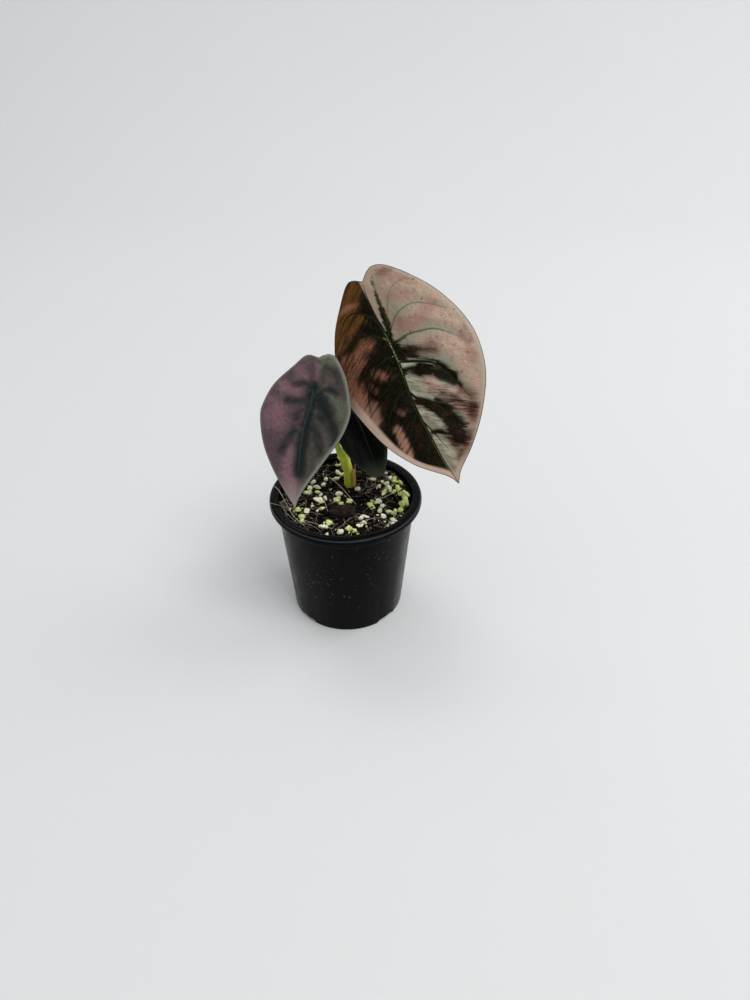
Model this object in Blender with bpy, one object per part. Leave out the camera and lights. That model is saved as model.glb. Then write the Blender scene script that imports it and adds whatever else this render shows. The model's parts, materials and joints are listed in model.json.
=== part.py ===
"""A young alocasia in a small nursery pot.

One stem rises from a chunky potting mix and carries three shield-shaped leaves, each on its
own petiole. The origin is the middle of the pot's underside, +Z is up, and the leaves face -Y.
Lengths are written in millimetres and turned into metres by MM.
"""
import math
import random
from dataclasses import dataclass

import bmesh
import bpy
from mathutils import Matrix, Vector

MM = 0.001
GAP = 0.3                 # between two pieces that touch

# Pot
POT_HEIGHT = 90.5
RIM_RADIUS = 50.6         # outside of the lip
LIP_WIDTH = 4.6           # how far the lip stands out from the wall
LIP_HEIGHT = 4.6
WALL = 1.3
WALL_TOP_RADIUS = RIM_RADIUS - LIP_WIDTH
BASE_RADIUS = 38.5
FLOOR = 1.6
COLLAR_HEIGHT = 5.0       # thicker band of wall below the lip
COLLAR_STEP = 0.5
FOOT_ROUNDING = 1.2
POT_SIDES = 72
NOTCHES = 4               # drain slots where wall and floor meet
NOTCH_WIDTH = 15.0
NOTCH_HEIGHT = 2.8
NOTCH_DEPTH = 4.5

# Potting mix
MIX_BELOW_RIM = 3.5       # at the stem; the surface falls a little towards the wall
MIX_FALL = 1.0

# Stem and petioles
STEM_PLACE = (2.0, 14.0)
STEM_RADIUS = 3.4
STEM_SIDES = 16
STEM_ROOTED = 14.0        # length of stem below the surface
STEM_BEND = (1.2, 14.6, 12.0)  # heights are above the mix, here and below
STEM_TOP = (-2.2, 16.2, 24.5)
PETIOLE_SPREAD = 2.05     # from the stem's middle to each petiole's
PETIOLE_SIDES = 10
FOOT_LENGTH = 3.0         # first stretch of a petiole, in line with the stem
NECK_LENGTH = 6.0         # last stretch, square to the blade
SHEATH_THICKNESS = 1.4    # dry remains of an older leaf's base
SHEATH_HEIGHT = 14.0
SHEATH_ARC = (-70, 35)    # degrees round the stem, from +X
SHEATH_NARROWING = 0.35   # share of the arc lost from each side at its top
SHEATH_LEAN = 1.0         # how far its top stands off the stem

# Leaves
BLADE_THICKNESS = 0.9

# Bark, in hundredths of the mix's radius
BARK_PLACE = (-4, -42)
BARK_SIZE = (41, 23, 9)
BARK_TURN = -8            # degrees
BARK_CORNERS = 40


@dataclass
class Leaf:
    """A blade and its petiole. The outline is drawn with the petiole's end at (0, 0) and the
    tip at -Y, then scaled until the blade has its length."""
    name: str
    length: float         # from the top of the lobes to the tip
    attach: tuple         # where the petiole meets the blade: x, y, height above the mix
    bearing: float        # degrees the face turns from -Y towards +X
    tilt: float           # degrees the face looks up
    roll: float           # degrees the tip swings towards +X
    right: list           # outline, from the notch down the right-hand side
    tip: tuple
    left: list            # outline, from the tip back up the left-hand side
    cup_left: tuple       # curvature across the left half, at the tip and at the top
    cup_right: tuple
    arch: float           # curvature along the midrib
    bearing_on_stem: float
    route: list           # petiole's middle stretch: x, y, height above the mix
    radii: tuple          # petiole, at the stem and at the blade
    segments: int
    rings: tuple


LARGE = Leaf(
    name="large", length=135.0, attach=(26.4, 0.0, 113.4), bearing=-8, tilt=32, roll=30.7,
    right=[(1.5, 35.5), (6, 39.5), (11, 41), (18, 37.5), (28, 26.5), (38, 11.5), (45, -7),
           (46.5, -24), (42, -43), (30.5, -62), (17, -77), (5, -87)],
    tip=(0, -94),
    left=[(-4, -87), (-18, -73), (-28.5, -56), (-35, -37), (-38.5, -20), (-36, -1.5),
          (-27.5, 16.5), (-16.5, 29.5), (-8.5, 37.5), (-4, 38.8)],
    cup_left=(0.002, 0.012), cup_right=(0.001, 0.003), arch=0.001,
    bearing_on_stem=40, route=[(5.5, 21.5, 51.5), (18, 21, 85.5)], radii=(1.6, 1.4),
    segments=56, rings=(0.15, 0.35, 0.55, 0.75, 0.9, 1.0))

MEDIUM = Leaf(
    name="medium", length=93.5, attach=(-17.0, -12.0, 86.0), bearing=-25, tilt=34, roll=2.8,
    right=[(0, 19.5), (3, 21.3), (7, 22.3), (12, 20.2), (20.5, 10), (27, -3.5), (28.5, -12),
           (25, -24), (16, -39), (8, -52), (2.2, -63)],
    tip=(0, -71),
    left=[(-2.5, -67.5), (-9, -60.5), (-17.5, -49), (-24.5, -36), (-28.5, -21), (-28, -12),
          (-23.5, 0.5), (-14, 13), (-9, 19), (-5.5, 20.2), (-2.5, 19.8)],
    cup_left=(-0.006, -0.006), cup_right=(-0.006, -0.006), arch=0.0012,
    bearing_on_stem=170, route=[(-8, 14.5, 40.5), (-14.5, 5, 63.5)], radii=(1.6, 1.2),
    segments=44, rings=(0.2, 0.45, 0.7, 0.88, 1.0))

SMALL = Leaf(
    name="small", length=63.0, attach=(5.0, 6.0, 64.0), bearing=5, tilt=50, roll=20,
    right=[(0, 14), (4, 16), (9, 13.5), (14, 5), (16, -6), (14.5, -20), (10, -33), (4.5, -43)],
    tip=(1, -47),
    left=[(-4, -45), (-9.5, -38.5), (-14, -27), (-16, -14), (-15, -1), (-11, 9), (-5, 15.5)],
    cup_left=(0.006, 0.006), cup_right=(0.006, 0.006), arch=0.002,
    bearing_on_stem=-75, route=[(1.5, 14, 38), (4.6, 12.5, 50.5)], radii=(1.3, 1.1),
    segments=36, rings=(0.25, 0.5, 0.75, 1.0))

# Perlite and pumice on the mix: x, y, length and width in hundredths of the mix's radius, turn
# in degrees, and whether the chip is white or stained green.
CHIPS = [
    (-42, -13, 15, 10, -15, "white"), (-30, -7, 9, 8, 20, "white"), (-14, -7, 14, 7, 0, "green"),
    (-6, -20, 8, 7, 30, "green"), (7, -18, 8, 8, 0, "green"), (-43, 9, 9, 8, 10, "green"),
    (-54, 19, 9, 7, 0, "white"), (-68, -34, 10, 9, 30, "green"), (-56, -38, 10, 9, 0, "white"),
    (-62, -51, 11, 10, -20, "green"), (-32, -73, 11, 9, -25, "white"),
    (-22, -63, 12, 8, -30, "green"), (-5, -86, 12, 7, 5, "white"), (8, -80, 12, 10, 20, "green"),
    (20, -71, 8, 6, 30, "white"), (28, -62, 8, 7, 10, "white"), (30, -50, 13, 8, -10, "white"),
    (37, -23, 12, 9, 35, "green"), (50, -13, 10, 10, 0, "white"), (55, -26, 9, 9, 20, "white"),
    (49, -38, 12, 10, -30, "white"), (57, -50, 11, 8, -40, "white"), (69, -58, 10, 9, 30, "white"),
    (71, -43, 10, 8, 20, "green"), (81, -33, 10, 8, 35, "green"), (88, -16, 8, 7, 60, "green"),
    (88, 3, 8, 7, 80, "green"), (78, 15, 10, 8, 40, "green"), (75, 38, 14, 8, -20, "green"),
    (51, 23, 10, 9, 0, "white"), (62, 32, 9, 8, 10, "white"), (66, 20, 8, 9, 30, "white"),
    (40, 43, 10, 8, 0, "white"), (-15, 46, 8, 7, 20, "white"), (-15, 83, 8, 7, 0, "white"),
    (60, 61, 9, 8, 0, "white"),
]
CHIP_HEIGHT = 0.62        # share of the chip's width
CHIP_CORNERS = 14
CHIP_SEED = 7

COLOURS = {               # linear colour, roughness
    "pot": ((0.006, 0.006, 0.006), 0.38),
    "mix": ((0.020, 0.013, 0.008), 0.95),
    "stem": ((0.36, 0.43, 0.03), 0.40),
    "petiole": ((0.16, 0.20, 0.06), 0.45),
    "sheath": ((0.30, 0.20, 0.05), 0.80),
    "bark": ((0.050, 0.026, 0.018), 0.90),
    "large": ((0.20, 0.11, 0.08), 0.25),
    "medium": ((0.11, 0.06, 0.07), 0.50),
    "small": ((0.012, 0.020, 0.014), 0.45),
    "white": ((0.60, 0.58, 0.44), 0.90),
    "green": ((0.33, 0.38, 0.10), 0.90),
}

mix_level = POT_HEIGHT - MIX_BELOW_RIM


def wall_radius(z):
    """Outside radius of the plain wall at a height."""
    return BASE_RADIUS + (WALL_TOP_RADIUS - BASE_RADIUS) * z / (POT_HEIGHT - LIP_HEIGHT)


def inner_radius(z):
    return wall_radius(z) - WALL


mix_radius = inner_radius(mix_level - MIX_FALL) - GAP


def mix_height(x, y):
    """Height of the mix's surface, highest in the middle."""
    return mix_level - MIX_FALL * (x * x + y * y) / mix_radius ** 2


def clear_scene():
    for old in list(bpy.data.objects):
        bpy.data.objects.remove(old, do_unlink=True)


def finish_for(name):
    """The Principled material of that name, made the first time it is asked for."""
    if name in bpy.data.materials:
        return bpy.data.materials[name]
    colour, roughness = COLOURS[name]
    made = bpy.data.materials.new(name)
    made.use_nodes = True
    shader = made.node_tree.nodes["Principled BSDF"]
    shader.inputs["Base Color"].default_value = (*colour, 1)
    shader.inputs["Roughness"].default_value = roughness
    shader.inputs["Metallic"].default_value = 0.0
    return made


def add_object(name, data, finish, parent):
    made = bpy.data.objects.new(name, data)
    bpy.context.scene.collection.objects.link(made)
    made.parent = parent
    if finish:
        data.materials.append(finish_for(finish))
    return made


def add_mesh(name, bm, finish, parent, smooth=True):
    """A new object from a bmesh that is drawn in millimetres."""
    bmesh.ops.scale(bm, vec=(MM, MM, MM), verts=bm.verts)
    bmesh.ops.recalc_face_normals(bm, faces=bm.faces)
    mesh = bpy.data.meshes.new(name)
    bm.to_mesh(mesh)
    bm.free()
    if smooth:
        mesh.shade_smooth()
        mesh.set_sharp_from_angle(angle=math.radians(35))
    return add_object(name, mesh, finish, parent)


def add_lathe(name, profile, sides, finish, parent):
    """A closed body turned from an (r, z) profile that runs down its outer side."""
    mesh = bpy.data.meshes.new(name)
    points = [(r * MM, 0, z * MM) for r, z in profile]
    mesh.from_pydata(points, [(i, i + 1) for i in range(len(points) - 1)], [])
    made = add_object(name, mesh, finish, parent)
    screw = made.modifiers.new("turn", "SCREW")
    screw.steps = screw.render_steps = sides
    screw.use_merge_vertices = True
    screw.merge_threshold = 0.00001
    screw.use_smooth_shade = True
    return made


def cut(target, cutter):
    """Takes the cutter's shape out of the target."""
    cutter.hide_render = True
    cutter.display_type = "WIRE"
    boolean = target.modifiers.new(cutter.name, "BOOLEAN")
    boolean.operation = "DIFFERENCE"
    boolean.solver = "EXACT"
    boolean.object = cutter


def smooth_path(points, steps):
    """Points on a Catmull-Rom curve through the given ones, ends included."""
    points = [Vector(p) for p in points]
    padded = [2 * points[0] - points[1], *points, 2 * points[-1] - points[-2]]
    path = []
    for a, b, c, d in zip(padded, padded[1:], padded[2:], padded[3:]):
        for step in range(steps):
            t = step / steps
            path.append(0.5 * (2 * b + (c - a) * t + (2 * a - 5 * b + 4 * c - d) * t * t
                               + (3 * b - a - 3 * c + d) * t ** 3))
    return path + [points[-1]]


def evenly(path, count):
    """count + 1 points along a path at equal distances, ends included."""
    reach = [0.0]
    for a, b in zip(path, path[1:]):
        reach.append(reach[-1] + (b - a).length)
    spaced, span = [], 0
    for k in range(count + 1):
        want = reach[-1] * k / count
        while span < len(path) - 2 and reach[span + 1] < want:
            span += 1
        share = (want - reach[span]) / (reach[span + 1] - reach[span])
        spaced.append(path[span].lerp(path[span + 1], min(share, 1.0)))
    return spaced


def skin_rings(bm, rings):
    """Quads between rings of vertices that all have the same count."""
    for low, high in zip(rings, rings[1:]):
        for k in range(len(low)):
            n = (k + 1) % len(low)
            bm.faces.new((low[k], low[n], high[n], high[k]))


def make_pot(parent):
    top = POT_HEIGHT
    lip_foot = top - LIP_HEIGHT
    collar_foot = lip_foot - COLLAR_HEIGHT
    profile = [
        (0, FLOOR), (inner_radius(FLOOR) - 1, FLOOR), (inner_radius(FLOOR), FLOOR + 1),
        (inner_radius(lip_foot), lip_foot), (WALL_TOP_RADIUS - WALL, top - 1.0),
        (WALL_TOP_RADIUS - 0.7 * WALL, top - 0.3), (WALL_TOP_RADIUS, top),
        (RIM_RADIUS - 1.3, top), (RIM_RADIUS - 0.4, top - 0.4), (RIM_RADIUS, top - 1.3),
        (RIM_RADIUS, lip_foot + 1.2), (RIM_RADIUS - 0.4, lip_foot + 0.3),
        (RIM_RADIUS - 1.2, lip_foot),
        (wall_radius(lip_foot) + COLLAR_STEP, lip_foot),
        (wall_radius(collar_foot) + COLLAR_STEP, collar_foot),
        (wall_radius(collar_foot - COLLAR_STEP), collar_foot - COLLAR_STEP),
        (wall_radius(FOOT_ROUNDING), FOOT_ROUNDING),
        (BASE_RADIUS - 0.3 * FOOT_ROUNDING, 0.3 * FOOT_ROUNDING),
        (BASE_RADIUS - FOOT_ROUNDING, 0), (0, 0),
    ]
    pot = add_lathe("pot", profile, POT_SIDES, "pot", parent)
    for k in range(NOTCHES):
        bm = bmesh.new()
        bmesh.ops.create_cube(bm, size=1)
        reach = NOTCH_DEPTH + 4
        bmesh.ops.scale(bm, vec=(reach, NOTCH_WIDTH, 2 * NOTCH_HEIGHT), verts=bm.verts)
        bmesh.ops.translate(bm, vec=(BASE_RADIUS - NOTCH_DEPTH + reach / 2, 0, 0), verts=bm.verts)
        cutter = add_mesh(f"notch_cutter_{k + 1}", bm, None, parent, smooth=False)
        cutter.rotation_euler.z = math.tau * (k + 0.5) / NOTCHES
        cut(pot, cutter)


def make_mix(parent):
    rings = 6
    surface = [(mix_radius * k / rings, mix_height(mix_radius * k / rings, 0))
               for k in range(rings + 1)]
    foot = FLOOR + GAP
    profile = [*surface, (inner_radius(foot + 1.5) - GAP, foot + 1.5),
               (inner_radius(foot) - GAP - 1.5, foot), (0, foot)]
    mix = add_lathe("potting_mix", profile, POT_SIDES, "mix", parent)
    bm = bmesh.new()
    deep = STEM_ROOTED + GAP
    bmesh.ops.create_cone(bm, cap_ends=True, segments=24, radius1=STEM_RADIUS + GAP,
                          radius2=STEM_RADIUS + GAP, depth=2 * deep)
    bmesh.ops.translate(bm, vec=(*STEM_PLACE, mix_level), verts=bm.verts)
    cut(mix, add_mesh("stem_hole_cutter", bm, None, parent))


def add_tube(name, path, radii, sides, finish, parent):
    """A tapering round rod along a path of points, its ends square to it."""
    bm = bmesh.new()
    rings = []
    side = Vector((1, 0, 0))
    for k, point in enumerate(path):
        along = (path[min(k + 1, len(path) - 1)] - path[max(k - 1, 0)]).normalized()
        side = (side - side.dot(along) * along).normalized()
        across = along.cross(side)
        radius = radii[0] + (radii[1] - radii[0]) * k / (len(path) - 1)
        rings.append([bm.verts.new(point + radius * (math.cos(a) * side + math.sin(a) * across))
                      for a in (math.tau * i / sides for i in range(sides))])
    skin_rings(bm, rings)
    bm.faces.new(rings[0])
    bm.faces.new(rings[-1])
    return add_mesh(name, bm, finish, parent)


def above_mix(point):
    return Vector((point[0], point[1], point[2] + mix_level))


def stem_path():
    """Straight down in the mix, then a slow lean to the left."""
    foot = Vector((*STEM_PLACE, mix_level - STEM_ROOTED))
    ground = Vector((*STEM_PLACE, mix_level))
    bend = smooth_path([ground, above_mix(STEM_BEND), above_mix(STEM_TOP)], 8)
    return [foot, *evenly(bend, 8)]


def make_stem(parent):
    add_tube("stem", stem_path(), (STEM_RADIUS, STEM_RADIUS), STEM_SIDES, "stem", parent)


def make_sheath(parent):
    """A dry strip that hugs the stem's side and leans off it at the top."""
    bm = bmesh.new()
    first, last = (math.radians(a) for a in SHEATH_ARC)
    inner = STEM_RADIUS + GAP
    rings = []
    for k in range(6):
        t = k / 5
        lean = SHEATH_LEAN * t * t
        narrowing = SHEATH_NARROWING * t
        arc = [first + (last - first) * (narrowing + (1 - 2 * narrowing) * i / 6) for i in range(7)]
        z = mix_level + GAP + SHEATH_HEIGHT * t
        ring = []
        for radius, angles in ((inner + lean, arc), (inner + lean + SHEATH_THICKNESS, arc[::-1])):
            ring += [bm.verts.new((STEM_PLACE[0] + radius * math.cos(a),
                                   STEM_PLACE[1] + radius * math.sin(a), z)) for a in angles]
        rings.append(ring)
    skin_rings(bm, rings)
    bm.faces.new(rings[0])
    bm.faces.new(rings[-1])
    add_mesh("old_sheath", bm, "sheath", parent)


def blade_frame(leaf):
    """Turns a blade from lying flat, face up and tip to -Y, to how it is held."""
    return (Matrix.Rotation(math.radians(leaf.bearing), 3, "Z")
            @ Matrix.Rotation(math.radians(90 - leaf.tilt), 3, "X")
            @ Matrix.Rotation(math.radians(leaf.roll), 3, "Z"))


def blade_rise(leaf, x, y):
    """Height of the drawn blade over the plane through the petiole's end."""
    top = max(p[1] for p in leaf.right + leaf.left)
    t = min(max((y - leaf.tip[1]) / (top - leaf.tip[1]), 0), 1)
    t = t * t * (3 - 2 * t)
    low, high = leaf.cup_left if x < 0 else leaf.cup_right
    return -(low + (high - low) * t) * x * x - leaf.arch * y * y


def make_blade(leaf, parent):
    tip, notch = Vector(leaf.tip), leaf.right[0]
    half = leaf.segments // 2
    right = evenly(smooth_path([*leaf.right, leaf.tip], 8), half)
    left = evenly(smooth_path([leaf.tip, *leaf.left, notch], 8), leaf.segments - half)
    outline = right[:-1] + [tip] + left[1:-1]
    heights = [p.y for p in outline]
    scale = leaf.length / (max(heights) - min(heights))
    bm = bmesh.new()
    faces = []
    for side in (1, -1):
        lift = Vector((0, 0, side * BLADE_THICKNESS / 2))
        rings = []
        for share in leaf.rings:
            ring = []
            for p in outline:
                x, y = share * p.x, share * p.y
                ring.append(bm.verts.new(scale * Vector((x, y, blade_rise(leaf, x, y))) + lift))
            rings.append(ring)
        centre = bm.verts.new(lift)
        for k, vert in enumerate(rings[0]):
            bm.faces.new((centre, vert, rings[0][(k + 1) % len(outline)]))
        skin_rings(bm, rings)
        faces.append(rings[-1])
    skin_rings(bm, faces)
    blade = add_mesh(f"leaf_{leaf.name}", bm, leaf.name, parent)
    place = Matrix.Translation(above_mix(leaf.attach) * MM)
    blade.matrix_local = place @ blade_frame(leaf).to_4x4()


def make_petiole(leaf, parent):
    """From the top of the stem to the middle of the blade's underside."""
    facing = blade_frame(leaf) @ Vector((0, 0, 1))
    attach = above_mix(leaf.attach)
    end = attach - facing * (BLADE_THICKNESS / 2 + GAP + 0.1)
    neck = attach - facing * NECK_LENGTH
    below, top = stem_path()[-2:]
    up_stem = (top - below).normalized()
    a = math.radians(leaf.bearing_on_stem)
    aside = PETIOLE_SPREAD * Vector((math.cos(a), math.sin(a), 0))
    aside.rotate(Vector((0, 0, 1)).rotation_difference(up_stem))
    start = top + aside + GAP * up_stem
    rise = start + FOOT_LENGTH * up_stem
    bend = smooth_path([rise, *(above_mix(p) for p in leaf.route), neck], 10)
    path = [start, *evenly(bend, 14), end]
    add_tube(f"petiole_{leaf.name}", path, leaf.radii, PETIOLE_SIDES, "petiole", parent)


def add_lump(name, size, corners, seed, finish, parent):
    """An angular lump: the hull of points scattered on a squashed ball."""
    rng = random.Random(seed)
    bm = bmesh.new()
    for _ in range(corners):
        way = Vector([rng.gauss(0, 1) for _ in range(3)]).normalized()
        bm.verts.new([0.5 * s * w for s, w in zip(size, way)])
    hull = bmesh.ops.convex_hull(bm, input=bm.verts)
    bmesh.ops.delete(bm, geom=hull["geom_interior"], context="VERTS")
    return add_mesh(name, bm, finish, parent, smooth=False)


def lay_on_mix(lump, x, y, turn, reach, height):
    """Sets a lump down on the mix, clear of the slope under it."""
    rest = mix_height(max(math.hypot(x, y) - reach, 0), 0) + GAP + height / 2
    lump.location = (x * MM, y * MM, rest * MM)
    lump.rotation_euler.z = math.radians(turn)


def make_chips(parent):
    unit = mix_radius / 100
    for k, (x, y, length, width, turn, tone) in enumerate(CHIPS, start=1):
        size = (length * unit, width * unit, CHIP_HEIGHT * width * unit)
        chip = add_lump(f"chip_{k:02d}", size, CHIP_CORNERS, CHIP_SEED + k, tone, parent)
        lay_on_mix(chip, x * unit, y * unit, turn, size[0] / 2, size[2])


def make_bark(parent):
    unit = mix_radius / 100
    size = [unit * share for share in BARK_SIZE]
    x, y = (unit * share for share in BARK_PLACE)
    bark = add_lump("bark_chunk", size, BARK_CORNERS, CHIP_SEED, "bark", parent)
    lay_on_mix(bark, x, y, BARK_TURN, size[0] / 2, size[2])


def main():
    clear_scene()
    root = add_object("potted_alocasia", None, None, None)
    make_pot(root)
    make_mix(root)
    make_stem(root)
    make_sheath(root)
    for leaf in (LARGE, MEDIUM, SMALL):
        make_blade(leaf, root)
        make_petiole(leaf, root)
    make_bark(root)
    make_chips(root)


main()
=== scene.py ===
"""Looks of the potted alocasia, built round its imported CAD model.

Pieces are drawn in millimetres and turned into metres when their mesh is made.
"""
import json
import math
import random

import bmesh
import bpy
import numpy as np
from mathutils import Matrix, Vector, noise


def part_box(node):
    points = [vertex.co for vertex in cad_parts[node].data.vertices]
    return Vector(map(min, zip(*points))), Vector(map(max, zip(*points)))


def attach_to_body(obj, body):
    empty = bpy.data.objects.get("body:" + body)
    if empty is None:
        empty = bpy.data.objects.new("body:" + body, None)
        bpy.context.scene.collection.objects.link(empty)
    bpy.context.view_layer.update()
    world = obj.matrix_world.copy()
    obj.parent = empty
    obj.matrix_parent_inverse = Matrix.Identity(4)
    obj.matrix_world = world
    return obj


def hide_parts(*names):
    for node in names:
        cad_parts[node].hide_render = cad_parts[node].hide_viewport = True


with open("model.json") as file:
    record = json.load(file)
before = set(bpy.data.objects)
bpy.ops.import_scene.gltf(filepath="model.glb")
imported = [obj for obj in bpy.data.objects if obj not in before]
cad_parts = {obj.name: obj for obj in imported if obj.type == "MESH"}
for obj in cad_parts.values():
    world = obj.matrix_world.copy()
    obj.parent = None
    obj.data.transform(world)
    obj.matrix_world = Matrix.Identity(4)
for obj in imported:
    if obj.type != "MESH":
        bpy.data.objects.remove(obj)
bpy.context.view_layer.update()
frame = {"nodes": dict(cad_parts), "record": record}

MM = 0.001
ROOT = "root"
scene = bpy.context.scene


# ---------------------------------------------------------------- sizes taken from the frame

def corners_mm(node):
    low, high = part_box(node)
    return np.array(low) / MM, np.array(high) / MM


_, POT_HIGH = corners_mm("pot")
_, MIX_HIGH = corners_mm("potting_mix")
RIM_RADIUS = POT_HIGH[0]
POT_HEIGHT = POT_HIGH[2]
MIX_RADIUS = MIX_HIGH[0]
MIX_LEVEL = MIX_HIGH[2]
MIX_FALL = 1.0                  # how much lower the mix is at the wall
LIP_WIDTH, LIP_HEIGHT = 4.6, 4.6
WALL = 1.3
BASE_RADIUS = 38.5
STEM_PLACE = (2.0, 14.0)
STEM_TOP = (-2.2, 16.2, 24.5)   # height is above the mix
STEM_RADIUS, STEM_WAIST = 3.55, 0.45
SHEATH_RADIUS, SHEATH_HEIGHT, SHEATH_THICKNESS = 3.88, 14.5, 0.5
RIB_DEPTH = 1.1                 # how far a leaf's main vein stands out below


# ---------------------------------------------------------------- curves

def smooth_path(points, steps=8):
    """Points on a Catmull-Rom curve through the given ones, ends included."""
    p = np.asarray(points, float)
    p = np.vstack([2 * p[0] - p[1], p, 2 * p[-1] - p[-2]])
    t = (np.arange(steps) / steps)[:, None]
    spans = [0.5 * (2 * b + (c - a) * t + (2 * a - 5 * b + 4 * c - d) * t ** 2
                    + (3 * b - a - 3 * c + d) * t ** 3)
             for a, b, c, d in zip(p, p[1:], p[2:], p[3:])]
    return np.vstack([*spans, p[-2]])


def evenly(path, count):
    """count + 1 points along a path at equal distances, ends included."""
    reach = np.r_[0, np.cumsum(np.linalg.norm(np.diff(path, axis=0), axis=1))]
    want = np.linspace(0, reach[-1], count + 1)
    return np.stack([np.interp(want, reach, column) for column in path.T], 1)


def nearest(points, path):
    """Distance from each 2-D point to a path, and how far along the path that is."""
    best = np.full(len(points), 1e9)
    along = np.zeros(len(points))
    start = 0.0
    for a, b in zip(path, path[1:]):
        step = b - a
        length = math.hypot(*step)
        t = np.clip(((points - a) @ step) / length ** 2, 0, 1)
        d = np.hypot(*(points - a - t[:, None] * step).T)
        closer = d < best
        best = np.where(closer, d, best)
        along = np.where(closer, start + t * length, along)
        start += length
    return best, along, start


def smoothstep(value, low, high):
    t = np.clip((value - low) / (high - low), 0, 1)
    return t * t * (3 - 2 * t)


def bumps(points, size, seed=0.0, octaves=3):
    """Perlin noise from -1 to 1 at 2-D or 3-D points, with lumps of about that size."""
    out = np.empty(len(points))
    for k, p in enumerate(points):
        z = p[2] if len(p) > 2 else 0.0
        q = Vector((p[0] / size + seed, p[1] / size - seed, z / size + 3.7 * seed))
        out[k] = noise.fractal(q, 1.0, 2.0, octaves)
    return out


# ---------------------------------------------------------------- meshes

def add_object(name, data, material):
    made = bpy.data.objects.new(name, data)
    scene.collection.objects.link(made)
    if material:
        data.materials.append(material)
    return made


def add_mesh(name, points, faces, material, values=None):
    """An object from points in millimetres; values holds one number or vector per point."""
    mesh = bpy.data.meshes.new(name)
    mesh.from_pydata((np.asarray(points) * MM).tolist(), [], faces)
    for key, value in (values or {}).items():
        value = np.asarray(value, np.float32)
        flat = value.ndim == 1
        layer = mesh.attributes.new(key, "FLOAT" if flat else "FLOAT_VECTOR", "POINT")
        layer.data.foreach_set("value" if flat else "vector", value.ravel())
    mesh.validate()
    mesh.shade_smooth()
    return add_object(name, mesh, material)


def belongs(piece, slot, *nodes):
    """A finished piece: what it rides on, and the CAD nodes it stands for; slot is not used."""
    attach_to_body(piece, ROOT)
    if nodes:
        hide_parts(*nodes)
    return piece


def strip_faces(low, high, closed=True):
    """Quads between two runs of point numbers."""
    count = len(low)
    last = count if closed else count - 1
    return [(low[k], low[(k + 1) % count], high[(k + 1) % count], high[k]) for k in range(last)]


def tube(path, radii, sides):
    """Points and faces of a closed tapering tube along a 3-D path."""
    path = np.asarray(path, float)
    radii = np.broadcast_to(radii, len(path))
    ahead = np.gradient(path, axis=0)
    ahead /= np.linalg.norm(ahead, axis=1)[:, None]
    side = np.array([1.0, 0, 0]) if abs(ahead[0][0]) < 0.9 else np.array([0, 1.0, 0])
    turn = 2 * np.pi * np.arange(sides) / sides
    points = []
    for p, along, radius in zip(path, ahead, radii):
        side = side - side.dot(along) * along
        side /= np.linalg.norm(side)
        across = np.cross(along, side)
        points.append(p + radius * (np.cos(turn)[:, None] * side
                                    + np.sin(turn)[:, None] * across))
    points = np.vstack(points)
    rows = [list(range(k * sides, (k + 1) * sides)) for k in range(len(path))]
    faces = [f for a, b in zip(rows, rows[1:]) for f in strip_faces(a, b)]
    return points, faces + [rows[0][::-1], rows[-1]]


def joined(parts):
    """Several (points, faces) as one."""
    points, faces, start = [], [], 0
    for p, f in parts:
        points.append(p)
        faces += [tuple(i + start for i in face) for face in f]
        start += len(p)
    return np.vstack(points), faces


def loose_piece(name, slot, parts, material):
    """One piece made of many (points, faces), standing for no node."""
    return belongs(add_mesh(name, *joined(parts), material), slot)


def ball(level):
    """Points and triangles of a unit icosphere."""
    bm = bmesh.new()
    bmesh.ops.create_icosphere(bm, subdivisions=level, radius=1)
    points = np.array([v.co[:] for v in bm.verts])
    faces = [tuple(v.index for v in f.verts) for f in bm.faces]
    bm.free()
    return points, faces


BALLS = {level: ball(level) for level in (2, 3, 4, 5)}


def lump(rng, size, level=3, planes=11, sharpness=9.0, grain=0.05):
    """Points and faces of a broken stone: a ball cut by soft planes, with a grainy skin."""
    way, faces = BALLS[level]
    cuts = np.array([[rng.gauss(0, 1) for _ in range(3)] for _ in range(planes)])
    cuts /= np.linalg.norm(cuts, axis=1)[:, None]
    depth = np.array([rng.uniform(0.42, 0.80) for _ in range(planes)])
    facing = np.clip(way @ cuts.T, 0.0, None) / depth
    reach = (1 + (facing ** sharpness).sum(1)) ** (-1 / sharpness)
    if grain:
        reach = reach * (1 + grain * bumps(way, 0.45, rng.uniform(0, 50)))
    shape = way * reach[:, None]
    return shape / np.abs(shape).max(0) * np.asarray(size) / 2, faces


def fitted(points, low, high):
    """Points moved and scaled to fill a box."""
    least, most = points.min(0), points.max(0)
    return low + (points - least) / (most - least) * (high - low)


def turned(points, x, y, z):
    """Points turned about X, then Y, then Z."""
    spin = Matrix.Rotation(z, 3, "Z") @ Matrix.Rotation(y, 3, "Y") @ Matrix.Rotation(x, 3, "X")
    return points @ np.array(spin).T


# ---------------------------------------------------------------- materials

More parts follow.
